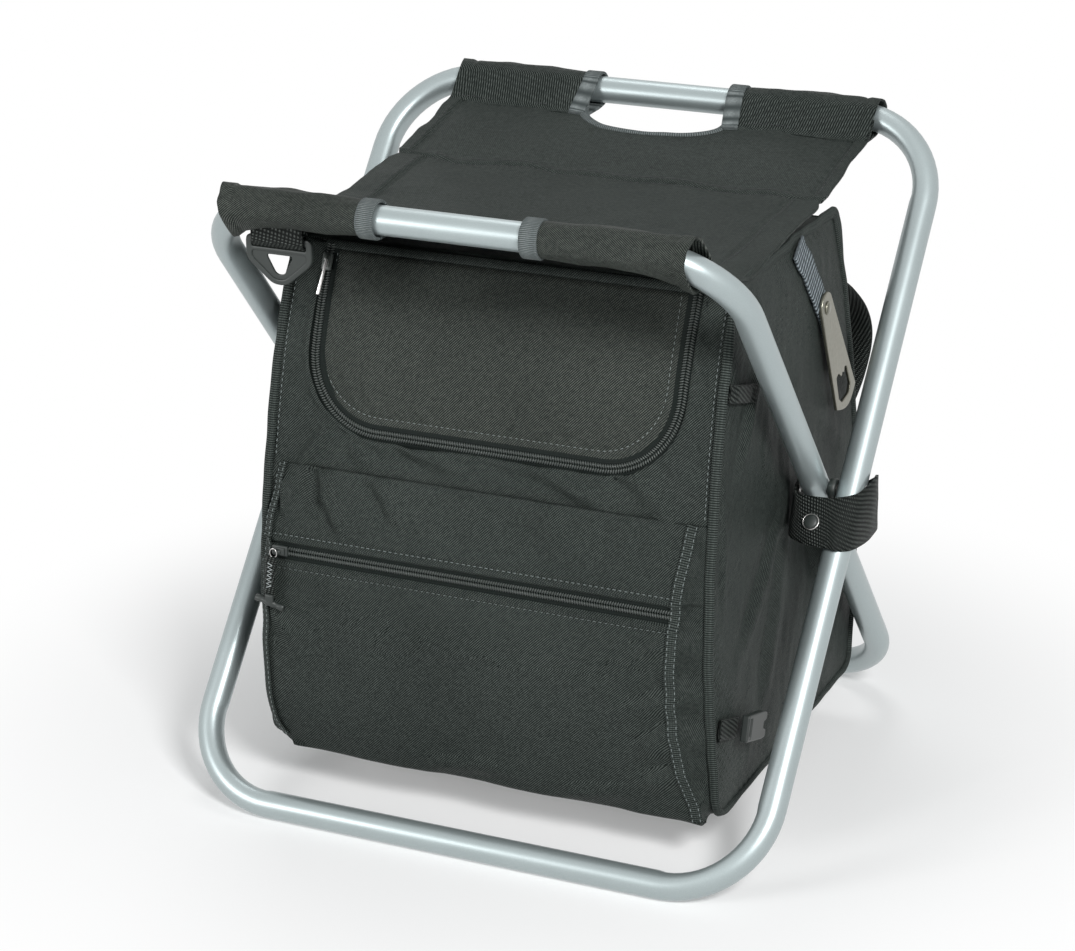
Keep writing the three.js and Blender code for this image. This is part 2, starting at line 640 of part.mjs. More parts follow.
for (const [sideName, side] of [["right", 1], ["left", -1]]) {
  const centre = side * (BAG_TOP_HALF_WIDTH - CLOTH / 2);
  const panel = solid(widened(across(bagOutline(0), CLOTH, centre)));
  add(`bag_side_${sideName}`, panel, BLACK_CLOTH);
  const seamCentre = side * (BAG_TOP_HALF_WIDTH - SEAM_WIDTH / 2);
  const seam = solid(widened(across(bagOutline(-SEAM_STAND), SEAM_WIDTH, seamCentre)));
  const seamBore = solid(widened(across(bagOutline(-GAP), SEAM_WIDTH + OVERRUN, seamCentre)));
  add(`side_seam_${sideName}`, seam.subtract(seamBore), BLACK_TAPE);
}

// Foam and liner: two boxes one inside the other, open behind the flap
function innerBox(inset, thickness) {
  const width = 2 * (BAG_TOP_HALF_WIDTH - inset);
  const hollow = bagBlock(inset + thickness, width - 2 * thickness);
  return bagBlock(inset, width).subtract(hollow).subtract(flapPrism(GAP, zipTop));
}

add("foam_insulation", innerBox(CLOTH + GAP, FOAM), FOAM_WHITE);
add("inner_liner", innerBox(CLOTH + GAP + FOAM + GAP, LINER), LINER_GREY);

// Flap: cloth, foam and lining in one hinged piece, with the zip chain round it
const flapSlab = bagBlock(0, wrapWidth).subtract(bagBlock(WALL, wrapWidth + OVERRUN));
add("bag_flap", flapSlab.intersect(flapPrism(0)), BLACK_CLOTH);
const zipSlab = bagBlock(-ZIP_STAND, wrapWidth).subtract(bagBlock(CLOTH, wrapWidth + OVERRUN));
const zipRing = flapPrism(ZIP_WIDTH).subtract(flapPrism(GAP, FLAP_TOP_Z + OVERRUN));
add("flap_zip_chain", zipSlab.intersect(zipRing), ZIP_BLACK);

// Zip slider: a flat body with a raised bridge for the pull, drawn from the side
function slider() {
  const half = SLIDER_LENGTH / 2;
  const body = new THREE.BoxGeometry(SLIDER_WIDTH, SLIDER_HEIGHT, SLIDER_LENGTH);
  const bridgeLength = SLIDER_LENGTH * SLIDER_BRIDGE_SHARE;
  const bridgeDepth = SLIDER_BRIDGE_HEIGHT + SLIDER_HEIGHT / 2;
  const bridge = new THREE.BoxGeometry(SLIDER_BRIDGE_WIDTH, bridgeDepth, bridgeLength);
  bridge.translate(0, -(bridgeDepth + SLIDER_HEIGHT) / 2 + SLIDER_HEIGHT / 2, (half - bridgeLength) / 2);
  return solid(body).add(solid(bridge));
}

// The flap slider stands on the left arm of the chain, and its pull hangs from it
const flapZipX = -(FLAP_HALF_WIDTH + ZIP_WIDTH / 2);
const flapSliderZ = FLAP_TOP_Z - FLAP_SLIDER_DROP;
const flapSlope = Math.atan2(
  depthAt(flapSliderZ - SLIDER_LENGTH) - depthAt(flapSliderZ + SLIDER_LENGTH / 2),
  SLIDER_LENGTH + SLIDER_LENGTH / 2);
const flapSlider = new THREE.Group();
const sliderStand = ZIP_STAND + 2 * GAP + SLIDER_HEIGHT / 2;
flapSlider.position.set(flapZipX, -depthAt(flapSliderZ) - sliderStand, flapSliderZ);
flapSlider.rotation.x = -flapSlope;
stool.add(flapSlider);
add("flap_zip_slider", slider(), ZIP_BLACK, flapSlider);
const pullY = -(SLIDER_HEIGHT / 2 + SLIDER_BRIDGE_HEIGHT + GAP + PULL_THICKNESS / 2);
const flapPull = new THREE.BoxGeometry(FLAP_PULL_WIDTH, PULL_THICKNESS, FLAP_PULL_LENGTH);
add("flap_zip_pull", solid(flapPull.translate(0, pullY, -FLAP_PULL_LENGTH / 2)), STEEL, flapSlider);

// Pocket: a shallow tray of cloth on the bag's front, open towards the bag
const pocketLowZ = BAG_BOTTOM_Z + POCKET_BOTTOM_RISE;
const pocketCurve = new THREE.SplineCurve(POCKET_STAND_SHARES.map(([height, stand]) => {
  const z = THREE.MathUtils.lerp(pocketLowZ, POCKET_TOP_Z, height);
  return new THREE.Vector2(POCKET_STAND * stand, z);
})).getPoints(PROFILE_STEPS);

function pocketOutline(grow, back) {
  const outer = pocketCurve.map(({ x, y }) => new THREE.Vector2(-(depthAt(y) + x + grow), y));
  const first = outer[0].clone().add(new THREE.Vector2(0, grow));
  const last = outer[outer.length - 1].clone().add(new THREE.Vector2(0, -grow));
  const inner = pocketCurve.map(({ y }) => new THREE.Vector2(-(depthAt(y) + back), y));
  inner[0].y = first.y;
  inner[inner.length - 1].y = last.y;
  return new THREE.Shape([first, ...outer.slice(1, -1), last, ...inner.reverse()]);
}

function pocketBlock(grow, back, width, centre = 0) {
  return solid(across(pocketOutline(grow, back), width, centre));
}

const pocketZipZ = POCKET_TOP_Z - POCKET_ZIP_DROP;

function pocketZipPrism(margin) {
  const half = POCKET_ZIP_HALF_WIDTH + margin;
  const rise = ZIP_WIDTH / 2 + margin;
  const shape = rectangle(-half, half, pocketZipZ - rise, pocketZipZ + rise);
  return solid(forward(shape, BAG_BELLY_HALF_DEPTH + OVERRUN, -BAG_TOP_HALF_DEPTH / 2));
}

const trayWidth = 2 * POCKET_HALF_WIDTH;
const trayBack = 2 * GAP;
const trayHollow = pocketBlock(-POCKET_CLOTH, -OVERRUN, trayWidth - 2 * POCKET_CLOTH);
const tray = pocketBlock(0, trayBack, trayWidth).subtract(trayHollow);
add("front_pocket", tray.subtract(pocketZipPrism(GAP)), BLACK_CLOTH);
const pocketChain = pocketBlock(ZIP_STAND, trayBack, trayWidth)
  .subtract(pocketBlock(-POCKET_CLOTH, -OVERRUN, trayWidth + OVERRUN))
  .intersect(pocketZipPrism(0));
add("pocket_zip_chain", pocketChain, ZIP_BLACK);
for (const [sideName, side] of [["right", 1], ["left", -1]]) {
  const centre = side * (POCKET_HALF_WIDTH - BINDING_WIDTH / 2);
  const stripe = pocketBlock(GAP + BINDING_THICKNESS, trayBack, BINDING_WIDTH, centre);
  const under = pocketBlock(GAP, -OVERRUN, BINDING_WIDTH + OVERRUN, centre);
  add(`pocket_binding_${sideName}`, stripe.subtract(under), BLACK_TAPE);
}

// The pocket slider lies across the chain, with its webbing pull and bar toggle below
function pocketReachAt(z) {
  const below = pocketCurve.findIndex((point) => point.y <= z);
  const [low, high] = [pocketCurve[below], pocketCurve[below - 1]];
  const reaches = [low, high].map(({ x, y }) => depthAt(y) + x);
  return THREE.MathUtils.mapLinear(z, low.y, high.y, reaches[0], reaches[1]);
}

function pocketFace(lowZ, highZ) {
  const between = pocketCurve.filter(({ y }) => y > lowZ && y < highZ);
  const reaches = between.map(({ x, y }) => depthAt(y) + x);
  return Math.max(pocketReachAt(lowZ), pocketReachAt(highZ), ...reaches);
}

const pocketSlider = new THREE.Group();
const pocketSliderX = BINDING_WIDTH + SLIDER_LENGTH - POCKET_HALF_WIDTH;
const zipHalf = ZIP_WIDTH / 2;
const pocketSliderReach = pocketFace(pocketZipZ - zipHalf, pocketZipZ + zipHalf) + sliderStand;
pocketSlider.position.set(pocketSliderX, -pocketSliderReach, pocketZipZ);
stool.add(pocketSlider);
add("pocket_zip_slider", slider(), ZIP_BLACK, pocketSlider).rotation.y = -Math.PI / 2;
const webPull = new THREE.BoxGeometry(
  POCKET_PULL_WIDTH, POCKET_PULL_THICKNESS, POCKET_PULL_LENGTH);
const bridgeReach = SLIDER_HEIGHT / 2 + SLIDER_BRIDGE_HEIGHT;
const toggleClear = pocketFace(pocketZipZ - POCKET_PULL_LENGTH - TOGGLE_DIAMETER, pocketZipZ)
  + TOGGLE_DIAMETER / 2 - POCKET_PULL_THICKNESS / 2 - pocketSliderReach;
const webPullY = -(Math.max(bridgeReach, toggleClear) + GAP + POCKET_PULL_THICKNESS / 2);
webPull.translate(0, webPullY, -POCKET_PULL_LENGTH / 2);
add("pocket_pull_webbing", solid(webPull), WEBBING, pocketSlider);
const toggle = new THREE.CylinderGeometry(
  TOGGLE_DIAMETER / 2, TOGGLE_DIAMETER / 2, TOGGLE_LENGTH, PIN_SIDES);
const toggleDrop = POCKET_PULL_LENGTH + TOGGLE_DIAMETER / 2 + GAP;
toggle.rotateZ(Math.PI / 2).translate(0, webPullY, -toggleDrop);
add("pocket_pull_toggle", solid(toggle), PLASTIC, pocketSlider);

// Pivot straps: webbing from the bag's side round both legs under the crossing.
// Front and rear arms lie parallel to the leg in front of and behind them.
const strapTopZ = PIVOT_Z - STRAP_TOP_DROP;
const strapLowZ = strapTopZ - STRAP_HEIGHT;

function strapHalfDepth(z) {
  const legHalf = TUBE_RADIUS / Math.cos(LEG_ANGLE);
  return (PIVOT_Z - z) * Math.tan(LEG_ANGLE) + legHalf + STRAP_LEG_CLEARANCE;
}

function pivotStrap() {
  const foot = besideBag(strapLowZ, strapTopZ);
  const reach = OUTER_LOOP_WIDTH / 2 + TUBE_RADIUS + STRAP_SLACK;
  const half = strapHalfDepth(strapTopZ);
  const path = new THREE.Path();
  path.moveTo(foot, half + STRAP_FOOT);
  path.lineTo(foot, half + STRAP_CORNER);
  path.quadraticCurveTo(foot, half, foot + STRAP_CORNER, half);
  path.lineTo(reach - STRAP_CORNER, half);
  path.quadraticCurveTo(reach, half, reach, half - STRAP_CORNER);
  path.lineTo(reach, STRAP_CORNER - half);
  path.quadraticCurveTo(reach, -half, reach - STRAP_CORNER, -half);
  path.lineTo(foot + STRAP_CORNER, -half);
  path.quadraticCurveTo(foot, -half, foot, -half - STRAP_CORNER);
  path.lineTo(foot, -half - STRAP_FOOT);
  const plan = band(path.getPoints(ROUND_STEPS), STRAP_THICKNESS);
  const geometry = extruded(plan, STRAP_HEIGHT).translate(0, 0, strapLowZ);
  const position = geometry.attributes.position;
  for (let index = 0; index < position.count; index += 1) {
    const y = position.getY(index);
    const spread = strapHalfDepth(position.getZ(index)) - half;
    const share = THREE.MathUtils.clamp(y / (half - STRAP_CORNER), -1, 1);
    position.setY(index, y + spread * share);
  }
  return geometry;
}

for (const [sideName, side] of [["right", 1], ["left", -1]]) {
  const strap = pivotStrap();
  if (side < 0) {
    strap.rotateZ(Math.PI);
  }
  add(`pivot_strap_${sideName}`, solid(strap), WEBBING);
  const stud = new THREE.CylinderGeometry(
    STUD_DIAMETER / 2 - GAP, STUD_DIAMETER / 2, STUD_HEIGHT, PIN_SIDES);
  const mesh = add(`press_stud_${sideName}`, solid(stud), STEEL);
  const studZ = strapTopZ - STRAP_HEIGHT / 2;
  const lift = STRAP_THICKNESS + GAP + STUD_HEIGHT / 2;
  const studY = -strapHalfDepth(studZ) - lift * Math.cos(LEG_ANGLE);
  mesh.position.set(
    side * (halfWidthAt(studZ) + STUD_REACH), studY, studZ + lift * Math.sin(LEG_ANGLE));
  mesh.rotation.x = Math.PI - LEG_ANGLE;
}

// Rear carrying straps: sewn down at both ends, standing off the bag in a loop
function carryStrap() {
  const line = new THREE.SplineCurve(CARRY_ROUTE_SHARES.map(([height, bulge]) => {
    const z = BAG_BOTTOM_Z + height * BAG_HEIGHT;
    return new THREE.Vector2(depthAt(z) + 2 * GAP + CARRY_BULGE * bulge, z);
  })).getPoints(4 * PROFILE_STEPS);
  const highest = line.map(({ x, y }) => new THREE.Vector2(Math.max(x, depthAt(y) + 2 * GAP), y));
  return across(band(highest, CARRY_THICKNESS), CARRY_WIDTH);
}

for (const [sideName, side] of [["right", 1], ["left", -1]]) {
  const centre = BAG_TOP_HALF_WIDTH - SEAM_WIDTH - CARRY_MARGIN - CARRY_WIDTH / 2;
  const strap = solid(carryStrap().translate(side * centre, 0, 0));
  add(`carry_strap_${sideName}`, strap.subtract(bagBlock(-GAP, wrapWidth)), WEBBING);
}

// Side webbing and buckle halves, laid on each side of the bag
function onSide(shape, thickness, side) {
  const plate = extruded(shape, thickness).applyMatrix4(ACROSS);
  return side > 0 ? plate : plate.translate(-thickness, 0, 0);
}

for (const [sideName, side] of [["right", 1], ["left", -1]]) {
  const tabSpan = SIDE_TAB_HEIGHT / 2;
  const tab = onSide(
    rectangle(-SIDE_TAB_LENGTH / 2, SIDE_TAB_LENGTH / 2, -tabSpan, tabSpan),
    WEBBING_THICKNESS, side);
  const tabX = besideBag(SIDE_TAB_Z - tabSpan, SIDE_TAB_Z + tabSpan);
  add(`side_tab_${sideName}`, solid(tab), WEBBING).position.set(side * tabX, SIDE_TAB_Y, SIDE_TAB_Z);

  const group = new THREE.Group();
  const lowest = BUCKLE_START_Z - BUCKLE_HEIGHT
    - (BUCKLE_WEB_LENGTH + BUCKLE_LENGTH) * Math.sin(BUCKLE_SLOPE);
  group.position.set(
    side * besideBag(lowest, BUCKLE_START_Z + BUCKLE_HEIGHT), BUCKLE_START_Y, BUCKLE_START_Z);
  group.rotation.x = -BUCKLE_SLOPE;
  stool.add(group);
  const webRise = BUCKLE_WEB_HEIGHT / 2;
  const web = onSide(
    rectangle(0, BUCKLE_WEB_LENGTH, -webRise, webRise), WEBBING_THICKNESS, side);
  add(`buckle_webbing_${sideName}`, solid(web), WEBBING, group);
  const start = BUCKLE_WEB_LENGTH + GAP;
  const rise = BUCKLE_HEIGHT / 2;
  const body = onSide(
    rectangle(start, start + BUCKLE_LENGTH, -rise, rise), BUCKLE_THICKNESS, side);
  const mouth = new THREE.BoxGeometry(
    BUCKLE_MOUTH_THICKNESS, 2 * BUCKLE_MOUTH_DEPTH, BUCKLE_MOUTH_HEIGHT);
  mouth.translate(side * BUCKLE_THICKNESS / 2, start + BUCKLE_LENGTH, 0);
  add(`buckle_half_${sideName}`, solid(body).subtract(solid(mouth)), PLASTIC, group);
}

// Opener: hangs on its rivet from the ribbed webbing on the right side
const ribbedX = besideBag(OPENER_Z - RIBBED_WIDTH, OPENER_Z + RIBBED_LENGTH);
const ribbed = onSide(
  rectangle(-RIBBED_WIDTH / 2, RIBBED_WIDTH / 2, -RIBBED_WIDTH / 2, RIBBED_LENGTH - RIBBED_WIDTH),
  RIBBED_THICKNESS, 1);
const ribbedHole = new THREE.CylinderGeometry(
  OPENER_RIVET_DIAMETER / 2 + GAP, OPENER_RIVET_DIAMETER / 2 + GAP, OVERRUN, PIN_SIDES);
const ribbedSolid = solid(ribbed).subtract(solid(ribbedHole.rotateZ(Math.PI / 2)));
const ribbedMesh = add("opener_webbing", ribbedSolid, GREY_WEBBING);
ribbedMesh.position.set(ribbedX, OPENER_Y, OPENER_Z);
ribbedMesh.rotation.x = RIBBED_LEAN;

function openerPlate() {
  const top = OPENER_TOP_HALF_WIDTH;
  const foot = OPENER_BOTTOM_HALF_WIDTH;
  const low = OPENER_TIP_SAG - OPENER_REACH;
  const shape = new THREE.Shape();
  shape.moveTo(-top, 0);
  shape.lineTo(-foot, low);
  shape.quadraticCurveTo(0, low - 2 * OPENER_TIP_SAG, foot, low);
  shape.lineTo(top, 0);
  shape.absarc(0, 0, top, 0, Math.PI);
  const mouth = new THREE.Path();
  const half = OPENER_MOUTH_HALF_WIDTH;
  const lip = half * OPENER_LIP_SHARE;
  mouth.moveTo(-lip, -OPENER_MOUTH_TOP);
  mouth.lineTo(-half, -OPENER_MOUTH_BOTTOM);
  mouth.lineTo(half * OPENER_STEP_SHARE, -OPENER_MOUTH_BOTTOM);
  mouth.lineTo(half, -OPENER_MOUTH_BOTTOM * OPENER_CHEEK_SHARE);
  mouth.lineTo(lip, -OPENER_MOUTH_TOP);
  mouth.lineTo(0, -OPENER_MOUTH_TOP * OPENER_TOOTH_SHARE);
  mouth.closePath();
  shape.holes.push(mouth);
  shape.holes.push(new THREE.Path().absarc(0, 0, OPENER_RIVET_DIAMETER / 2 + GAP, 0, 2 * Math.PI));
  return solid(extruded(shape, OPENER_THICKNESS).rotateZ(OPENER_LEAN).applyMatrix4(ACROSS));
}

function openerRivet() {
  const shaft = OPENER_RIVET_DIAMETER / 2;
  const head = OPENER_RIVET_HEAD / 2;
  const face = OPENER_THICKNESS + GAP;
  const geometry = turned([
    [0, -RIBBED_THICKNESS], [shaft, -RIBBED_THICKNESS], [shaft, face], [head, face],
    [head * OPENER_RIVET_FACE_SHARE, face + OPENER_RIVET_DOME], [0, face + OPENER_RIVET_DOME],
  ]);
  return solid(geometry.rotateZ(-Math.PI / 2));
}

const openerGroup = new THREE.Group();
openerGroup.position.set(ribbedX + RIBBED_THICKNESS + GAP, OPENER_Y, OPENER_Z);
stool.add(openerGroup);
add("bottle_opener", openerPlate(), STEEL, openerGroup);
add("opener_rivet", openerRivet(), STEEL, openerGroup);

export default stool;
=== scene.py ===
# %% [markdown]
# # A folding cooler stool
# Two crossed loops of silver tube carry a cloth seat, and an insulated bag of black cloth
# hangs between the legs. This lesson dresses the drawn frame of the stool: every cloth,
# webbing and metal part is modelled on the place that the frame gives it. Sizes are written
# in millimetres, as in the drawing, and each finished mesh is scaled to metres once.

# %% Load the frame
import math

import bmesh
import bpy
import numpy as np
from mathutils import Matrix, Vector, noise


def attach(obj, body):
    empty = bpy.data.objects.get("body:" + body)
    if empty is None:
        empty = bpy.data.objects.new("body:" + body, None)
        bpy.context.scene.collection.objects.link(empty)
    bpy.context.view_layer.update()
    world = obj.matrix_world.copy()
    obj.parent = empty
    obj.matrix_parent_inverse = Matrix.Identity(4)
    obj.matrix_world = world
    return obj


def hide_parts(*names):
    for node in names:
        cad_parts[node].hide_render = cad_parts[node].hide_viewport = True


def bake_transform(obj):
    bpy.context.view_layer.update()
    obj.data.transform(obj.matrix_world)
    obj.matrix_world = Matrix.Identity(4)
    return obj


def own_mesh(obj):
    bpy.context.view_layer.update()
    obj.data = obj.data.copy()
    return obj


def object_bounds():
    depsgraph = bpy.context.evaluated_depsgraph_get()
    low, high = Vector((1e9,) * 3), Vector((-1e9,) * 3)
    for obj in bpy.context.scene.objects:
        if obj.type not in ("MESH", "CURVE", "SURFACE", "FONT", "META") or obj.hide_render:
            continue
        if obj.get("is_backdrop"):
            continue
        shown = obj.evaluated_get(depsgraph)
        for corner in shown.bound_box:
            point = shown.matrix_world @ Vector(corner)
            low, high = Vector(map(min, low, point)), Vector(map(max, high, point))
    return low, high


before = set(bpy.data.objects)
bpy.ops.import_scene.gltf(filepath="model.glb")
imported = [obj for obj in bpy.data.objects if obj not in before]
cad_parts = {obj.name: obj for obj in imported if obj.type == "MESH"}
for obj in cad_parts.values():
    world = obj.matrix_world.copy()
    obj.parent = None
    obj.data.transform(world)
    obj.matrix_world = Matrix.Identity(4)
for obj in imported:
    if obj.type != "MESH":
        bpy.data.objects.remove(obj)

MM = 0.001
cad_low, cad_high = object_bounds()
print("the frame spans", [round(side, 3) for side in cad_high - cad_low], "metres")

# %% [markdown]
# ## Camera and light
# The camera stands where the photograph was taken: in front of the stool, a little to its
# right and above it, with a long lens. Lenses are easiest to set from a focal length in
# pixels, so the lens is worked out from the picture's width. The studio is white, so every
# ray that the camera, metal or glass sends out past the stool meets plain white.

# %% Camera
PICTURE_WIDTH = 1075
FOCAL_PIXELS = 3010.84
CAMERA_PLACE = Vector((0.77914, -1.78734, 0.95683))
CAMERA_AZIMUTH, CAMERA_ELEVATION, CAMERA_ROLL = (math.radians(a) for a in (24.18, 21.07, -0.451))

camera_data = bpy.data.cameras.new("picture_camera")
camera_data.sensor_width = 36
camera_data.lens = FOCAL_PIXELS * camera_data.sensor_width / PICTURE_WIDTH
camera = bpy.data.objects.new("picture_camera", camera_data)
bpy.context.scene.collection.objects.link(camera)
look = Vector((-math.sin(CAMERA_AZIMUTH) * math.cos(CAMERA_ELEVATION),
               math.cos(CAMERA_AZIMUTH) * math.cos(CAMERA_ELEVATION), -math.sin(CAMERA_ELEVATION)))
level = look.cross(Vector((0, 0, 1))).normalized()
upright = level.cross(look)
right = math.cos(CAMERA_ROLL) * level + math.sin(CAMERA_ROLL) * upright
upward = math.cos(CAMERA_ROLL) * upright - math.sin(CAMERA_ROLL) * level
turn = Matrix((right, upward, -look)).transposed().to_4x4()
camera.matrix_world = Matrix.Translation(CAMERA_PLACE) @ turn
bpy.context.scene.camera = camera
bpy.context.scene.view_settings.view_transform = "Standard"
print("lens", round(camera_data.lens, 2), "mm")

# %% [markdown]
# ## A small language for materials
# A material is a graph of nodes. Writing the graph by hand is slow to read, so `Signal` wraps
# a socket and lets Python's own arithmetic add the Math nodes, and `Graph` adds any other node
# from its type, its settings and its inputs. A `Finish` is the graph of one material.

# %% Signals and finishes
WHITE = (1, 1, 1, 1)


class Signal:
    """A value in a graph of nodes. Arithmetic on it adds Math nodes."""

    def __init__(self, graph, socket):
        self.graph, self.socket = graph, socket

    def worked(self, operation, first, second=0.0):
        return self.graph.node("ShaderNodeMath", {"operation": operation}, {0: first, 1: second})

    def __add__(self, other):
        return self.worked("ADD", self, other)

    def __sub__(self, other):
        return self.worked("SUBTRACT", self, other)

    def __rsub__(self, other):
        return self.worked("SUBTRACT", other, self)

    def __mul__(self, other):
        return self.worked("MULTIPLY", self, other)

    def __truediv__(self, other):
        return self.worked("DIVIDE", self, other)

    def __rtruediv__(self, other):
        return self.worked("DIVIDE", other, self)

    __radd__ = __add__
    __rmul__ = __mul__

    def wave(self):
        """From 0 to 1 and back, once for each whole number."""
        return self.worked("SINE", self * math.tau) * 0.5 + 0.5

    def sharpened(self, power):
        return self.worked("POWER", self, power)


class Graph:
    """A tree of nodes that grows node by node."""

    def __init__(self, tree):
        self.tree = tree

    def feed(self, socket, value):
        if isinstance(value, Signal):
            self.tree.links.new(value.socket, socket)
        else:
            socket.default_value = value

    def node(self, kind, settings=None, inputs=None, output=0):
        made = self.tree.nodes.new(kind)
        for name, value in (settings or {}).items():
            setattr(made, name, value)
        for name, value in (inputs or {}).items():
            self.feed(made.inputs[name], value)
        return Signal(self, made.outputs[output])

    def ray_is(self, *kinds):
        """1 for a ray of any of these kinds, 0 for all others."""
        path = self.node("ShaderNodeLightPath").socket.node.outputs
        found = Signal(self, path[f"Is {kinds[0]} Ray"])
        for kind in kinds[1:]:
            found = found.worked("MAXIMUM", found, Signal(self, path[f"Is {kind} Ray"]))
        return found


class Finish(Graph):
    """The graph of one material."""

    def __init__(self, name, **fixed):
        self.material = bpy.data.materials.new(name)
        self.material.use_nodes = True
        super().__init__(self.material.node_tree)
        self.shader = self.tree.nodes["Principled BSDF"]
        self.set(**fixed)

    def set(self, **values):
        for name, value in values.items():
            self.feed(self.shader.inputs[name.replace("_", " ")], value)

    def across_and_along(self, pitch):
        """The piece's own flat coordinates, counted in threads of that pitch in metres."""
        flat = self.node("ShaderNodeUVMap", {"uv_map": "UVMap"})
        parts = self.node("ShaderNodeSeparateXYZ", inputs={0: flat})
        along = Signal(self, parts.socket.node.outputs[1])
        return parts / pitch, along / pitch

    def cloud(self, scale, detail=2.0):
        place = self.node("ShaderNodeTexCoord", output=3)
        return self.node("ShaderNodeTexNoise", inputs={
            "Vector": place, "Scale": scale, "Detail": detail})

    def mixed(self, share, first, second):
        return self.node("ShaderNodeMix", {"data_type": "RGBA"}, {0: share, 6: first, 7: second}, 2)

    def bumped(self, height, distance, strength):
        self.set(Normal=self.node("ShaderNodeBump", inputs={
            "Strength": strength, "Distance": distance, "Height": height}))


def grey(level, blue=0.0):
    """A grey, a little towards blue or, below 0, towards red."""
    return (level * (1 - blue), level, level * (1 + blue), 1)

# %% [markdown]
# ## Floor, world and lamps
# The floor is pale and keeps the stool's soft shadow. Near the stool, a quarter of what the
# camera sees of it is plain white and the rest is the lit floor, so the shadow stays light.
# Further out it is all plain white, as in a studio picture.

# %% Floor and world
FLOOR_SIZE = 30
SHADOW_REACH, WHITE_REACH = 0.2, 0.55
WHITE_NEAR = 0.25
SKY_COLOUR, SKY_LEVEL = (0.90, 0.98, 1, 1), 0.16

floor_mesh = bmesh.new()
bmesh.ops.create_grid(floor_mesh, x_segments=1, y_segments=1, size=FLOOR_SIZE)
floor_data = bpy.data.meshes.new("studio_floor")
floor_mesh.to_mesh(floor_data)
floor_mesh.free()
floor = bpy.data.objects.new("studio_floor", floor_data)
bpy.context.scene.collection.objects.link(floor)
floor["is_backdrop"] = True

paint = Finish("studio_white", Base_Color=grey(0.97), Roughness=0.9, Specular_IOR_Level=0.0)
place = paint.node("ShaderNodeTexCoord", output=3)
distance = paint.node("ShaderNodeVectorMath", {"operation": "LENGTH"}, {0: place}, 1)
outward = paint.node("ShaderNodeMapRange", {"interpolation_type": "SMOOTHSTEP"}, {
    0: distance, 1: SHADOW_REACH, 2: WHITE_REACH, 3: WHITE_NEAR, 4: 1.0})
share = paint.ray_is("Camera") * outward + paint.ray_is("Glossy", "Transmission")
glow = paint.node("ShaderNodeEmission", inputs={0: WHITE, 1: 1.0})
lit = Signal(paint, paint.shader.outputs[0])
paint.feed(paint.tree.nodes["Material Output"].inputs["Surface"],
           paint.node("ShaderNodeMixShader", inputs={0: share, 1: lit, 2: glow}))
floor.data.materials.append(paint.material)

world = bpy.data.worlds.new("studio")
world.use_nodes = True
bpy.context.scene.world = world
sky = Graph(world.node_tree)
plain = sky.tree.nodes["Background"]
sky.feed(plain.inputs["Color"], SKY_COLOUR)
sky.feed(plain.inputs["Strength"], SKY_LEVEL)
white_sky = sky.node("ShaderNodeBackground", inputs={"Color": WHITE})
share = sky.ray_is("Camera", "Transmission", "Glossy")
sky.feed(sky.tree.nodes["World Output"].inputs["Surface"],
         sky.node("ShaderNodeMixShader", inputs={
             0: share, 1: Signal(sky, plain.outputs[0]), 2: white_sky}))

# %% Lamps
STOOL_MIDDLE = Vector((0, 0, 0.24))


def softbox(name, place, size, watts):
    data = bpy.data.lights.new(name, "AREA")
    data.size, data.energy = size, watts
    lamp = bpy.data.objects.new(name, data)
    lamp.location = place
    lamp.rotation_euler = (STOOL_MIDDLE - Vector(place)).to_track_quat("-Z", "Y").to_euler()
    bpy.context.scene.collection.objects.link(lamp)


softbox("key_right", (1.7, -1.7, 1.9), 0.7, 74)
softbox("fill_left", (-1.5, -2.1, 0.95), 0.9, 27)
softbox("top_rear", (-0.5, 0.9, 2.3), 0.8, 9)
print("three softboxes light the stool")

# %% [markdown]
# ## Finishes
# The black cloth is a coarse twill: its diagonal threads catch the light in small specks.
# The twill is drawn on each piece's own flat coordinates, in metres, so the threads keep
# their size and follow the cloth round every bend. Webbing has small raised knots, the
# binding tapes have ribs across them, and the tubes wear a satin silver paint.

# %% Cloth and tape finishes


def twill(name, dark, light, pitch=0.0018):
    finish = Finish(name, Roughness=0.5, Specular_IOR_Level=0.05)
    across, along = finish.across_and_along(pitch)
    diagonal = (across - along).wave()
    floats = (across * 1.1 + along * 0.9).wave()
    fleck = diagonal.sharpened(1.4) * (floats * 0.45 + 0.5)
    mottle = finish.cloud(430.0, 1.0) * 1.2 + 0.3
    drift = finish.cloud(8.0) * 0.8 + 0.6
    finish.set(Base_Color=finish.mixed(fleck * mottle * drift, dark, light))
    finish.bumped(fleck, 0.0003, 0.5)
    return finish.material


def ribbed(name, dark, light, pitch=0.0015, depth=0.0005):
    finish = Finish(name, Roughness=0.6, Specular_IOR_Level=0.08)
    across, along = finish.across_and_along(pitch)
    rib = along.wave()
    weave = (across * 0.9).wave() * 0.4 + 0.6
    grain = finish.cloud(700.0, 1.0)
    finish.set(Base_Color=finish.mixed(rib * weave * (grain + 0.45), dark, light))
    finish.bumped(rib * weave, depth, 0.8)
    return finish.material


def webbing(name, dark, light, pitch=0.0024):
    finish = Finish(name, Roughness=0.5, Specular_IOR_Level=0.12)
    across, along = finish.across_and_along(pitch)
    knots = (across + along * 0.3).wave() * (along * 1.5 - across * 0.2).wave()
    grain = finish.cloud(600.0, 1.0)
    finish.set(Base_Color=finish.mixed(knots.sharpened(1.3) * (grain + 0.5), dark, light))
    finish.bumped(knots, 0.0012, 1.0)
    return finish.material


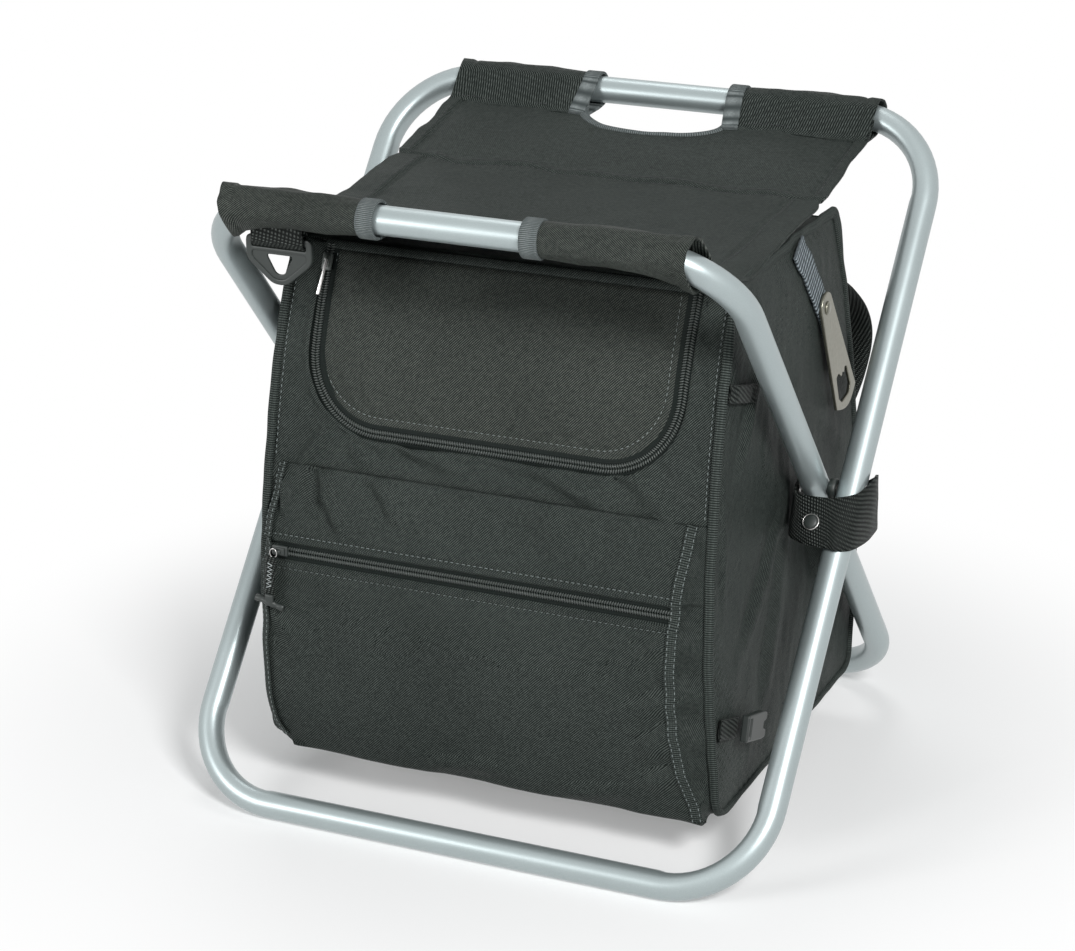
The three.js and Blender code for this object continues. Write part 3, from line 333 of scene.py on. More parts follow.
black_cloth = twill("black_twill", (0.0040, 0.0062, 0.0056, 1), (0.098, 0.113, 0.104, 1))
# A lighter, warmer copy of the same black twill. This is painted light: it stands for the front
# light and sheen that fall on the flap and the front sleeves.
lit_black_cloth = twill("lit_black_twill", (0.0044, 0.0064, 0.0058, 1), (0.124, 0.136, 0.122, 1))
black_binding = ribbed("black_ribbed_tape", (0.004, 0.0062, 0.0056, 1), (0.085, 0.100, 0.092, 1))
zip_tape_cloth = ribbed("zip_tape_cloth", (0.005, 0.0075, 0.0068, 1), (0.018, 0.023, 0.021, 1),
                        pitch=0.0009, depth=0.0002)
grey_tape = ribbed("grey_ribbed_tape", (0.050, 0.060, 0.060, 1), (0.225, 0.250, 0.250, 1),
                   pitch=0.0016)
black_webbing = webbing("black_webbing", (0.0035, 0.0052, 0.0046, 1), (0.145, 0.162, 0.150, 1))
grey_webbing = ribbed("grey_ribbed_webbing", (0.022, 0.030, 0.034, 1), (0.36, 0.41, 0.44, 1),
                      pitch=0.0036, depth=0.0016)

# %% Hard finishes and thread


def speckled(name, colour, lighter, roughness, metallic=0.0, scale=900.0, depth=0.00004):
    finish = Finish(name, Metallic=metallic)
    grain = finish.cloud(scale, 2.0)
    drift = finish.cloud(25.0, 2.0)
    finish.set(Base_Color=finish.mixed(grain * 0.7 + drift * 0.3, colour, lighter))
    finish.set(Roughness=drift * 0.12 + (roughness - 0.06))
    finish.bumped(grain, depth, 0.5)
    return finish.material


silver_paint = speckled("satin_silver_paint", (0.31, 0.36, 0.365, 1), (0.42, 0.475, 0.48, 1),
                        0.38, 0.6, 1400.0, 0.00001)
steel = speckled("rivet_steel", grey(0.40, -0.02), grey(0.55, -0.02), 0.30, 1.0)
nickel = speckled("warm_nickel", (0.155, 0.152, 0.122, 1), (0.29, 0.284, 0.235, 1), 0.34, 0.9,
                  380.0)
dark_plastic = speckled("dark_moulded_plastic", (0.012, 0.0165, 0.015, 1),
                        (0.026, 0.032, 0.0295, 1), 0.46, scale=1500.0)
zip_black = speckled("zip_coil", (0.035, 0.042, 0.038, 1), (0.110, 0.124, 0.116, 1), 0.30,
                     scale=1500.0)
pale_thread, white_thread, dull_thread = (
    speckled(name, dark, light, 0.7, scale=2500.0) for name, dark, light in (
        ("pale_thread", (0.11, 0.13, 0.13, 1), (0.25, 0.285, 0.28, 1)),
        ("white_thread", (0.30, 0.33, 0.33, 1), (0.50, 0.54, 0.54, 1)),
        ("dull_thread", grey(0.02, 0.05), grey(0.05, 0.05))))
foam_white = speckled("foam_white", grey(0.55), grey(0.74), 0.95, scale=1200.0, depth=0.0003)
liner_grey = speckled("liner_foil", grey(0.30, 0.04), grey(0.46, 0.04), 0.42, 0.35, 160.0, 0.0008)
print("finishes:", len(bpy.data.materials))

# %% [markdown]
# ## Helpers for pieces
# Cloth is easiest to shape from a flat grid whose points are moved to where the cloth lies,
# because the grid keeps its flat coordinates for the weave. `finish_piece` scales a drawn mesh
# to metres, gives it its finish, hangs it on the body it moves with and hides the drawn solids
# that it stands for.

# %% Piece helpers
SIDES = (("right", 1), ("left", -1))


def finish_piece(name, bm, finish, body, stands_for=(), smooth=True):
    bmesh.ops.scale(bm, vec=(MM, MM, MM), verts=bm.verts)
    mesh = bpy.data.meshes.new(name)
    bm.to_mesh(mesh)
    bm.free()
    for polygon in mesh.polygons:
        polygon.use_smooth = smooth
    piece = bpy.data.objects.new(name, mesh)
    bpy.context.scene.collection.objects.link(piece)
    mesh.materials.append(finish)
    if body:
        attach(piece, body)
    if stands_for:
        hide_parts(*stands_for)
    return piece


def empty_mesh():
    bm = bmesh.new()
    bm.loops.layers.uv.new("UVMap")
    return bm


def merged(whole, part):
    """Add one drawn mesh to another."""
    held = bpy.data.meshes.new("held")
    part.to_mesh(held)
    part.free()
    whole.from_mesh(held)
    bpy.data.meshes.remove(held)
    return whole


def set_down(bm, place, *turns):
    """Turn a drawn part by each (angle, axis) and then move it to its place."""
    for angle, axis in turns:
        bmesh.ops.rotate(bm, verts=bm.verts, matrix=Matrix.Rotation(angle, 3, axis))
    bmesh.ops.translate(bm, verts=bm.verts, vec=place)
    return bm


def flattened(bm, flat_at):
    """Take the flat coordinates, in mm, from each corner's place."""
    flat = bm.loops.layers.uv["UVMap"]
    for face in bm.faces:
        for loop in face.loops:
            loop[flat].uv = [value * MM for value in flat_at(*loop.vert.co)]
    return bm


def from_front(x, y, z):
    return x, z


def from_side(x, y, z):
    return y, z


def from_above(x, y, z):
    return x, y


def thickened(bm, thickness):
    bmesh.ops.solidify(bm, geom=bm.faces[:], thickness=thickness)
    return bm


def laid_grid(columns, rows, place, span=(1, 1)):
    """A grid whose points go to place(u, v); its flat coordinates span that many mm."""
    bm = empty_mesh()
    flat = bm.loops.layers.uv["UVMap"]
    bmesh.ops.create_grid(bm, x_segments=columns, y_segments=rows, size=0.5, calc_uvs=True)
    for vert in bm.verts:
        vert.co = place(vert.co.x + 0.5, vert.co.y + 0.5)
    for face in bm.faces:
        for loop in face.loops:
            u, v = loop[flat].uv
            loop[flat].uv = (u * span[0] * MM, v * span[1] * MM)
    return bm


def faced(bm, way):
    """Turn an open cloth so that its face looks one way."""
    bm.normal_update()
    if sum((face.normal * face.calc_area() for face in bm.faces), Vector()).dot(way) < 0:
        bmesh.ops.reverse_faces(bm, faces=bm.faces)
    return bm

# %% [markdown]
# ## Bands, turned parts and plates
# A band, cord or tube is the same grid rolled up along a path. Round parts are a profile spun
# round an axis, and flat moulded parts are plates with holes and rounded rims.

# %% Swept, turned and flat shapes
RIM_ANGLE = 1.2


def rounded_section(width, height, radius, steps=3):
    """The outline of a flat band's section, as (across, out) points."""
    points = []
    for corner, (sx, sy) in enumerate(((1, 1), (-1, 1), (-1, -1), (1, -1))):
        for step in range(steps + 1):
            angle = (corner + step / steps) * math.pi / 2
            points.append((sx * (width / 2 - radius) + radius * math.cos(angle),
                           sy * (height / 2 - radius) + radius * math.sin(angle)))
    return points


def band_section(width, thickness, columns):
    """A flat band's section with extra points across it, so that it can cup and follow bends."""
    half, edge = width / 2, thickness / 2
    top = [(half - edge - (width - 2 * edge) * n / columns, edge) for n in range(columns + 1)]
    return top + [(-half, 0)] + [(-x, -y) for x, y in top] + [(half, 0)]


def swept(path, section, closed=False):
    """Carry a section along a path of (centre, across, out) stations."""
    count, last = len(section), len(path) - 1
    lengths = [(Vector(section[n]) - Vector(section[n - 1])).length for n in range(count)]
    run = sum((path[n + 1][0] - path[n][0]).length for n in range(last))

    def place(u, v):
        centre, across, out = path[round(v * last)]
        a, o = section[round(u * count) % count]
        return centre + across * a + out * o

    made = laid_grid(count, last, place, (sum(lengths), run))
    bmesh.ops.remove_doubles(made, verts=made.verts, dist=0.0005)
    if not closed:
        bmesh.ops.holes_fill(made, edges=[e for e in made.edges if e.is_boundary], sides=0)
    bmesh.ops.recalc_face_normals(made, faces=made.faces)
    return made


def stations(points, out_at, closed=False):
    """Frames along a line of points, with the way out given at each of them."""
    frames = []
    for n, point in enumerate(points):
        before = points[n - 1] if n or closed else point
        after = points[(n + 1) % len(points)] if n < len(points) - 1 or closed else point
        along = (after - before).normalized()
        out = out_at(point)
        out = (out - along * out.dot(along)).normalized()
        frames.append((point, along.cross(out), out))
    return frames + frames[:1] if closed else frames


def ribbon(line, out_at, width, thickness, columns):
    """A flat band along a line of points."""
    return swept(stations(line, out_at), band_section(width, thickness, columns))


def resampled(points, pitch):
    """Points at an even pitch along a line."""
    run = np.cumsum([0] + [(b - a).length for a, b in zip(points, points[1:])])
    marks = np.arange(pitch / 2, run[-1], pitch)
    line = [np.interp(marks, run, [p[axis] for p in points]) for axis in range(3)]
    return [Vector(p) for p in zip(*line)]


def smooth_line(corners, steps=8):
    """A smooth line through a few points."""
    held = [corners[0], *corners, corners[-1]]
    line = []
    for a, b, c, d in zip(held, held[1:], held[2:], held[3:]):
        for n in range(steps):
            t = n / steps
            line.append(0.5 * (2 * b + (c - a) * t + (2 * a - 5 * b + 4 * c - d) * t * t
                               + (3 * b - a - 3 * c + d) * t ** 3))
    return line + [corners[-1]]


def turned(profile, segments=28):
    """A profile of (radius, height) points spun round Z."""
    bm = empty_mesh()
    line = [bm.verts.new((radius, 0, height)) for radius, height in profile]
    edges = [bm.edges.new(pair) for pair in zip(line, line[1:])]
    bmesh.ops.spin(bm, geom=line + edges, cent=(0, 0, 0), axis=(0, 0, 1), angle=math.tau,
                   steps=segments, use_merge=True, use_duplicate=False)
    bmesh.ops.remove_doubles(bm, verts=bm.verts, dist=0.001)
    bmesh.ops.recalc_face_normals(bm, faces=bm.faces)
    return bm


def plate(outlines, thickness, bevel):
    """A flat plate with holes, drawn in XY, with rounded rims."""
    bm = empty_mesh()
    for outline in outlines:
        ring = [bm.verts.new((x, y, 0)) for x, y in outline]
        for pair in zip(ring, ring[1:] + ring[:1]):
            bm.edges.new(pair)
    bmesh.ops.triangle_fill(bm, edges=bm.edges[:], use_beauty=True, use_dissolve=True)
    thickened(bm, thickness)
    bmesh.ops.recalc_face_normals(bm, faces=bm.faces)
    rims = [e for e in bm.edges if e.calc_face_angle(0) > RIM_ANGLE]
    bmesh.ops.bevel(bm, geom=rims, offset=bevel, offset_type="OFFSET", affect="EDGES", segments=2,
                    profile=0.5, material=-1)
    return set_down(bm, (0, 0, thickness / 2))


def softened(outline, radius, steps=4):
    """An outline of corners with each corner rounded."""
    points, count = [], len(outline)
    for n in range(count):
        before, corner, after = (Vector(outline[(n + k) % count]) for k in (-1, 0, 1))
        reach = min(radius, (before - corner).length / 2.1, (after - corner).length / 2.1)
        start = corner + (before - corner).normalized() * reach
        end = corner + (after - corner).normalized() * reach
        for step in range(steps + 1):
            t = step / steps
            points.append(tuple((1 - t) ** 2 * start + 2 * t * (1 - t) * corner + t * t * end))
    return points

# %% [markdown]
# ## Stitches and unevenness
# A stitch is a tiny ball drawn out along the thread. Cloth is never quite even: creases and
# ripples come from a few smooth functions and a fixed noise.

# %% Stitches and smooth functions
STITCH_LENGTH, STITCH_WIDTH, STITCH_PITCH = 2.7, 0.6, 4.1


def bearings(points, pitch, out_at):
    """Marks at an even pitch, each with its ways along the line, out of the cloth and across."""
    marks = resampled(points, pitch)
    for n, point in enumerate(marks):
        along = (marks[min(n + 1, len(marks) - 1)] - marks[max(n - 1, 0)]).normalized()
        out = out_at(point).normalized()
        yield point, along, out, along.cross(out).normalized()


def bead(bm, centre, *axes):
    """A tiny ball of few faces, stretched along three axes."""
    shape = Matrix(axes).transposed().to_4x4()
    bmesh.ops.create_icosphere(bm, subdivisions=1, radius=1.0,
                               matrix=Matrix.Translation(centre) @ shape)


def stitched(bm, points, out_at):
    """A row of small stitches laid along a line of points."""
    for point, along, out, side in bearings(points, STITCH_PITCH, out_at):
        bead(bm, point + out * 0.1, along * STITCH_LENGTH / 2, side * STITCH_WIDTH / 2,
             out * STITCH_WIDTH / 2)
    return bm


def facing(*way):
    """The same way out at every point."""
    return lambda point: Vector(way)


def eased(value):
    """0 below 0, 1 above 1, and a smooth step between."""
    t = min(max(value, 0.0), 1.0)
    return t * t * (3 - 2 * t)


def hill(distance, width):
    """1 at no distance, falling off softly over that width."""
    return math.exp(-(distance / width) ** 2)


def ripple(place, scale, seed):
    """Gentle unevenness of cloth at a place in mm, from -1 to 1."""
    return noise.noise(Vector(place) / scale + Vector((seed, seed * 0.37, -seed)))


def evenly(low, high, count):
    """Numbers from low to high with that many equal steps between them."""
    return list(np.linspace(low, high, count + 1))


print("helpers ready")

# %% [markdown]
# ## Tubes
# Each loop of the frame is one tube bent round four corners. A circle is pushed along the
# straight runs and spun round the bends, as the bender does. On the real frame the tube is
# pinched a little on the inside of each bend, so those points move outwards slightly.

# %% Tube loops
TUBE_RADIUS = 9.5
LEG_ANGLE = math.radians(40.65)
LEG_BELOW_PIVOT = 284.6
OUTER_RAIL_ABOVE, INNER_RAIL_ABOVE = 275.3, 272.2
OUTER_WIDTH, INNER_WIDTH = 411.0, 361.6
BEND_RADIUS = 63.4
PIVOT_Z = 225.03
BEND_PINCH = 1.5


def tube_loop(width, rail_above, lean):
    """One closed loop of tube, leaning about the pivot line."""
    bm = empty_mesh()
    bmesh.ops.create_circle(bm, cap_ends=False, segments=32, radius=TUBE_RADIUS)
    set_down(bm, (0, 0, rail_above), (math.pi / 2, "Y"))
    ring = bm.edges[:]
    reach, low = width / 2 - BEND_RADIUS, BEND_RADIUS - LEG_BELOW_PIVOT
    high = rail_above - BEND_RADIUS
    runs = [((1, 0, 0), reach, (reach, 0, high)), ((0, 0, -1), high - low, (reach, 0, low)),
            ((-1, 0, 0), 2 * reach, (-reach, 0, low)), ((0, 0, 1), high - low, (-reach, 0, high)),
            ((1, 0, 0), reach, None)]
    for direction, length, centre in runs:
        pushed = bmesh.ops.extrude_edge_only(bm, edges=ring)["geom"]
        moved = [v for v in pushed if isinstance(v, bmesh.types.BMVert)]
        bmesh.ops.translate(bm, verts=moved, vec=Vector(direction) * length)
        ring = [e for e in pushed if isinstance(e, bmesh.types.BMEdge)]
        if centre:
            bent = bmesh.ops.spin(bm, geom=moved + ring, cent=centre, axis=(0, 1, 0),
                                  angle=math.pi / 2, steps=16)["geom_last"]
            ring = [e for e in bent if isinstance(e, bmesh.types.BMEdge)]
    bmesh.ops.remove_doubles(bm, verts=bm.verts, dist=0.01)
    bmesh.ops.recalc_face_normals(bm, faces=bm.faces)
    for vert in bm.verts:
        corner = Vector((math.copysign(reach, vert.co.x), 0, high if vert.co.z > 0 else low))
        offset = vert.co - corner
        if abs(vert.co.x) > reach and (vert.co.z > high or vert.co.z < low):
            angle = math.atan2(abs(offset.z), abs(offset.x)) / (math.pi / 2)
            middle = corner + Vector((offset.x, 0, offset.z)).normalized() * BEND_RADIUS
            inward = (corner - middle).normalized()
            inside = max((vert.co - middle).dot(inward) / TUBE_RADIUS, 0)
            vert.co -= inward * BEND_PINCH * inside ** 3 * math.sin(math.pi * angle) ** 0.3
    return set_down(bm, (0, 0, PIVOT_Z), (lean, "X"))


finish_piece("outer_tube", tube_loop(OUTER_WIDTH, OUTER_RAIL_ABOVE, -LEG_ANGLE), silver_paint,
             "outer_frame", ["outer_frame_tube"])
finish_piece("inner_tube", tube_loop(INNER_WIDTH, INNER_RAIL_ABOVE, LEG_ANGLE), silver_paint,
             "inner_frame", ["inner_frame_tube"])

# %% [markdown]
# ## Pivot rivets
# A steel rivet passes through both tubes where the legs cross, and a black washer keeps them
# apart. Both are turned parts, so each is a profile spun once round its axis.

# %% Rivets and washers
RIVET_PLAY = 0.3
RIVET_INSIDE = INNER_WIDTH / 2 - TUBE_RADIUS - RIVET_PLAY
RIVET_OUTSIDE = OUTER_WIDTH / 2 + TUBE_RADIUS + RIVET_PLAY
RIVET_PROFILE = [(0, -2.2), (2.6, -2.2), (4.4, -1.5), (5.5, -0.4), (5.5, 0), (3, 0)]


def laid_across(bm, side, centre=(0, 0, PIVOT_Z)):
    """Turn a part that was drawn upright so that its axis points out of one side."""
    return set_down(bm, centre, (side * math.pi / 2, "Y"))


for side_name, side in SIDES:
    inner = [(radius, RIVET_INSIDE + height) for radius, height in RIVET_PROFILE]
    outer = [(radius, RIVET_OUTSIDE - height) for radius, height in reversed(RIVET_PROFILE)]
    finish_piece(f"rivet_{side_name}", laid_across(turned(inner + outer), side), steel,
                 "outer_frame", [f"pivot_rivet_{side_name}"])
    start = INNER_WIDTH / 2 + TUBE_RADIUS + RIVET_PLAY
    end = OUTER_WIDTH / 2 - TUBE_RADIUS - RIVET_PLAY
    washer = turned([(3.3, start), (6.4, start), (7, start + 0.6), (7, end - 0.6), (6.4, end),
                     (3.3, end), (3.3, start)])
    finish_piece(f"washer_{side_name}", laid_across(washer, side), dark_plastic,
                 "outer_frame", [f"pivot_spacer_{side_name}"])

# %% [markdown]
# ## Seat
# The seat is one sheet of cloth that hangs in a shallow curve between the two rails, with a
# rounded hand opening at each rail. Its columns are drawn closer together round the openings,
# and each column runs from the edge of one opening to the edge of the other, so the openings'
# rims are clean curves. A cross seam and folded side hems stand a little above the sheet.

# %% Seat line
REAR_RAIL = Vector((0, OUTER_RAIL_ABOVE * math.sin(LEG_ANGLE),
                    PIVOT_Z + OUTER_RAIL_ABOVE * math.cos(LEG_ANGLE)))
FRONT_RAIL = Vector((0, -INNER_RAIL_ABOVE * math.sin(LEG_ANGLE),
                     PIVOT_Z + INNER_RAIL_ABOVE * math.cos(LEG_ANGLE)))
SEAT_HALF_WIDTH = 160.0
SEAT_THICKNESS = 1.8
SEAT_SAG = 37.0
SEAT_SHAPE = [(-0.93, 0.22), (-0.82, 0.48), (-0.62, 0.86), (-0.4, 1), (-0.12, 0.95), (0.06, 0.87),
              (0.36, 0.78), (0.62, 0.5), (0.82, 0.32), (0.93, 0.22)]
SLEEVE_RADIUS = 12.2
SLEEVE_REACH = SLEEVE_RADIUS + 0.3

seat_middle = (REAR_RAIL.y + FRONT_RAIL.y) / 2
seat_half_span = (REAR_RAIL.y - FRONT_RAIL.y) / 2 - SLEEVE_REACH
seat_line = smooth_line(
    [Vector((0, FRONT_RAIL.y + SLEEVE_REACH, FRONT_RAIL.z))]
    + [Vector((0, seat_middle + seat_half_span * along, FRONT_RAIL.z - SEAT_SAG * down))
       for along, down in SEAT_SHAPE]
    + [Vector((0, REAR_RAIL.y - SLEEVE_REACH, REAR_RAIL.z))], 12)
seat_ys = [point.y for point in seat_line]
seat_zs = [point.z for point in seat_line]
seat_length = sum((b - a).length for a, b in zip(seat_line, seat_line[1:]))
print("the seat sheet is", round(seat_length), "mm long between the rails")

HAND_HALF_WIDTH = 58.0
HAND_DEPTH = 48.0
HAND_SQUARENESS = 2.6
HEM_FRONT_X, HEM_REAR_X = 137.5, 150.5
CROSS_SEAM_Y = 65.0
HEM_DROOP = 8.0


def hand_reach(x):
    """How far the hand opening reaches in from the rail at x."""
    inside = 1 - min(abs(x) / HAND_HALF_WIDTH, 1) ** HAND_SQUARENESS
    return HAND_DEPTH * inside ** (1 / HAND_SQUARENESS)


def seat_end(x, rail_y, side):
    """Where the sheet ends at x: at its rail's sleeve, or further in at the hand opening."""
    return rail_y - side * max(hand_reach(x), SLEEVE_REACH)


def fold(a, b, start, end, width, height):
    """The height, at place (a, b), of a crease from start to end with its valley beside it."""
    run = Vector(end) - Vector(start)
    along = (Vector((a, b)) - Vector(start)).dot(run) / run.length_squared
    beside = (Vector((a, b)) - Vector(start)).cross(run) / run.length
    fade = eased(along * 4 + 0.5) * eased((1 - along) * 2.2)
    return 1.6 * height * fade * (hill(beside, width) - 0.7 * hill(beside - 1.7 * width, width))


SEAT_FOLDS = [((64, 40), (24, 140), 13, 0.8), ((130, 44), (96, 146), 13, 0.9),
              ((-48, 50), (-84, 140), 12, 0.8), ((-128, 60), (-140, 140), 10, 0.9),
              ((70, -90), (20, -10), 15, 0.6), ((-30, -80), (-90, 0), 15, 0.6)]


def seat_relief(x, y):
    """How far the sheet's hems, seam, creases and unevenness stand off its smooth curve."""
    hem_x = HEM_REAR_X + (HEM_FRONT_X - HEM_REAR_X) * eased((CROSS_SEAM_Y - y + 2) / 4)
    past = abs(x) - hem_x
    hem = 1.1 * eased(past / 1.6 + 0.5)
    dent = -0.9 * hill(past + 1.8, 2.0)
    seam = 0.9 * hill(y - CROSS_SEAM_Y - 2.2, 2.6) - 0.8 * hill(y - CROSS_SEAM_Y + 2.0, 1.7)
    droop = -HEM_DROOP * eased((abs(x) - 140) / 24) * eased((-30 - y) / 70) * (
        1 + 0.5 * ripple((x, y, 0), 19, 6.3))
    soft = 2.2 * ripple((x * 0.8 + y * 0.5, y * 0.4, 0), 34, 3.1) + 0.6 * ripple((x, y, 0), 15, 8.7)
    folds = sum(fold(x, y, *line) for line in SEAT_FOLDS)
    return hem + seam + dent + droop + soft + folds


def seat_point(x, y, lift=0.0):
    z = float(np.interp(y, seat_ys, seat_zs))
    return Vector((x, y, z + seat_relief(x, y) + lift))

# %% Seat sheet
hand_xs = [HAND_HALF_WIDTH * math.sin(angle) ** (2 / HAND_SQUARENESS)
           for angle in evenly(0, math.pi / 2, 12)]
outer_xs = evenly(HAND_HALF_WIDTH, 132, 13)[1:] + evenly(132, SEAT_HALF_WIDTH, 26)[1:]
half_xs = hand_xs + outer_xs
seat_xs = [-x for x in reversed(half_xs[1:])] + half_xs
SEAM_BAND = (CROSS_SEAM_Y - 8, CROSS_SEAM_Y + 7)
seat_rows = evenly(-1, 0, 78) + evenly(0, 1, 20)[1:] + evenly(1, 2, 28)[1:]


def seat_edge_pull(x, y):
    """The side hems are uneven, and step in a little at the cross seam."""
    place = (math.copysign(40, x), y, 0)
    wave = 1.3 * ripple(place, 24, 4.9) + 0.6 * ripple(place, 9, 1.3)
    step = 2.6 * hill(y - CROSS_SEAM_Y + 4, 5) + 1.8 * hill(y - 118, 16)
    return math.copysign(wave + step, x) * eased((abs(x) - 120) / 40)


def seat_place(u, v):
    x = seat_xs[round(u * (len(seat_xs) - 1))]
    front, rear = seat_end(x, FRONT_RAIL.y, -1), seat_end(x, REAR_RAIL.y, 1)
    row = seat_rows[round(v * (len(seat_rows) - 1))]
    y = float(np.interp(row, (-1, 0, 1, 2), (front, *SEAM_BAND, rear)))
    return seat_point(x - seat_edge_pull(x, y) * eased(min(v, 1 - v) * 9), y)


def sag_blended(piece):
    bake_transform(piece)
    return piece


seat_mesh = laid_grid(len(seat_xs) - 1, len(seat_rows) - 1, seat_place)
flattened(seat_mesh, from_above)
seat_area = sum(face.calc_area() for face in seat_mesh.faces) * MM * MM
thickened(seat_mesh, SEAT_THICKNESS)
seat = finish_piece("seat_cloth", seat_mesh, black_cloth, None, ["seat_panel"])
sag_blended(seat)
print("seat sheet area", round(seat_area, 4), "square metres")

# %% [markdown]
# ## Grey tape along the hand openings
# The raw edge of each opening is wrapped in grey ribbed tape. It is a thick band with rounded
# edges, carried along the opening's curve and bent over the sheet's edge.

# %% Hand tapes
TAPE_SECTION = rounded_section(7.0, 3.8, 1.7)


def hand_edge(rail_y, side):
    """The line of one opening's edge, in the middle of the sheet's thickness."""
    points = []
    for angle in evenly(-math.pi / 2, math.pi / 2, 48):
        share = abs(math.sin(angle)) ** (2 / HAND_SQUARENESS)
        x = math.copysign(HAND_HALF_WIDTH * share, angle)
        y = rail_y - side * max(hand_reach(x), SLEEVE_RADIUS - 3)
        points.append(seat_point(x, y, -SEAT_THICKNESS / 2))
    return points


for place, rail, side in (("rear", REAR_RAIL, 1), ("front", FRONT_RAIL, -1)):
    route = resampled(hand_edge(rail.y, side), 2.5)
    tape = swept(stations(route, facing(0, 0.25, 1)), TAPE_SECTION)
    sag_blended(finish_piece(f"{place}_hand_tape", tape, grey_tape, None,
                             [f"{place}_handle_tape"]))

# %% [markdown]
# ## Sleeves and grey rings
# The sheet's ends wrap round the rails as four sleeves and are sewn down just inside them, so
# a sleeve's section is a drop: round at the rail and pointed at its stitch line. Near its
# outer end the tube already bends away downwards, and the sleeve is drawn wide over it. The
# section is the outline round two circles and the point, softened where one takes over. The
# grey rings bind the sleeves' inner ends, so they follow the same drop.

# %% Sleeves
RING_INSIDE, RING_OUTSIDE, RING_THICKNESS = 50.0, 61.3, 2.2
SLEEVE_TIP_REACH = 26.0
SLEEVE_THICKNESS, SLEEVE_SOFTNESS = 1.6, 1.4
SLEEVE_STEPS = 64


def bend_drop(x, width):
    """How far the tube has bent away from the straight rail at x."""
    past = abs(x) - (width / 2 - BEND_RADIUS)
    return BEND_RADIUS - math.sqrt(BEND_RADIUS ** 2 - past ** 2) if past > 0 else 0.0


def sleeve_section(rail, width, side, x, count=52, stand=0.0):
    """The sleeve's drop-shaped outline at x, standing off the cloth by that many mm."""
    down = Vector((0, -side * math.sin(LEG_ANGLE), -math.cos(LEG_ANGLE)))
    bent = rail + down * bend_drop(x, width)
    tip_y = rail.y - side * SLEEVE_TIP_REACH
    tip = Vector((0, tip_y, float(np.interp(tip_y, seat_ys, seat_zs)) - SEAT_THICKNESS / 2))
    end = max((abs(x) - RING_OUTSIDE) / (SEAT_HALF_WIDTH - RING_OUTSIDE), 0)
    slack = SLEEVE_RADIUS - 0.9 + 1.1 * end + 0.8 * math.sin(math.pi * end) + stand
    circles = [(rail, slack), (bent, slack + 0.4), (tip, 1.9 + stand)]
    points = []
    for n in range(count):
        angle = math.tau * n / count
        way = Vector((0, math.cos(angle), math.sin(angle)))
        reach = [centre.dot(way) + radius for centre, radius in circles]
        weight = [math.exp((r - max(reach)) / SLEEVE_SOFTNESS) for r in reach]
        total = sum(weight)
        point = Vector((0, 0, 0))
        for (centre, radius), w in zip(circles, weight):
            point += (centre + way * radius) * (w / total)
        uneven = (ripple((x * 0.7, 26 * angle, side * 50), 11, 1.7) * 0.8
                  + ripple((x, 60 * angle, side * 90), 31, 5.2) * 1.2)
        hem = (0.7 * eased((abs(x) - SEAT_HALF_WIDTH + 9) / 1.5)
               - 0.6 * hill(abs(x) - SEAT_HALF_WIDTH + 10, 1.2))
        point += way * (uneven * min(1, end * 4) + hem)
        points.append(Vector((x, point.y, point.z)))
    return points


def sleeve_mouth(hand, angle):
    """The sleeve's outer end is not cut quite straight."""
    place = (hand * 30, 40 * math.cos(angle), 40 * math.sin(angle))
    return hand * (1.6 * math.sin(angle + 0.6) + 1.4 * ripple(place, 25, 2.9))

# %% Sleeves and rings
for place, rail, width, side, body in (
        ("rear", REAR_RAIL, OUTER_WIDTH, 1, "outer_frame"),
        ("front", FRONT_RAIL, INNER_WIDTH, -1, "inner_frame")):
    # The front sleeves wear the lighter twill copy, which is painted light for the light that falls
    # on them.
    sleeve_cloth = lit_black_cloth if place == "front" else black_cloth
    for side_name, hand in SIDES:
        inside, length = RING_OUTSIDE - 1.5, SEAT_HALF_WIDTH + 0.8 - RING_OUTSIDE
        loops = [sleeve_section(rail, width, side, hand * (inside + length * n / SLEEVE_STEPS))
                 for n in range(SLEEVE_STEPS + 1)]
        count = len(loops[0])

        def sleeve_place(u, v):
            point = loops[round(v * SLEEVE_STEPS)][round(u * count) % count]
            return point + Vector((sleeve_mouth(hand, u * math.tau) * v ** 6, 0, 0))

        middle = loops[SLEEVE_STEPS // 2]
        round_length = sum((b - a).length for a, b in zip(middle, middle[1:] + middle[:1]))
        weave_way = 1 if place == "front" else -1
        bm = laid_grid(count, SLEEVE_STEPS, sleeve_place,
                       (weave_way * round_length, SEAT_HALF_WIDTH - RING_OUTSIDE))
        bmesh.ops.remove_doubles(bm, verts=bm.verts, dist=0.0005)
        bmesh.ops.recalc_face_normals(bm, faces=bm.faces)
        if max(bm.faces, key=lambda f: f.calc_center_median().z).normal.z < 0:
            bmesh.ops.reverse_faces(bm, faces=bm.faces)
        thickened(bm, SLEEVE_THICKNESS)
        sleeve = finish_piece(f"{place}_rail_sleeve_{side_name}", bm, sleeve_cloth, body,
                              [f"{place}_sleeve_{side_name}"])
        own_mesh(sleeve)
        ring_x = hand * (RING_INSIDE + RING_OUTSIDE) / 2
        drop = sleeve_section(rail, width, side, ring_x, 60, 0.3)
        ring_points = [p + Vector((hand * 3.5 * eased(abs(p.y - rail.y) / 26 - 0.3), 0, 0))
                       for p in drop]
        centre = rail + Vector((ring_x, -side * 5, 0))
        ring = swept(stations(ring_points, lambda point: point - centre, closed=True),
                     rounded_section(RING_OUTSIDE - RING_INSIDE + 1.0, RING_THICKNESS, 0.9),
                     closed=True)
        ring = finish_piece(f"{place}_rail_ring_{side_name}", ring, grey_tape, body,
                            [f"{place}_ring_{side_name}"])
        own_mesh(ring)

# %% [markdown]
# ## Seat stitching
# Dark thread holds the cross seam, the side hems and the sleeves. A stitch has few faces,
# because there are hundreds of them.

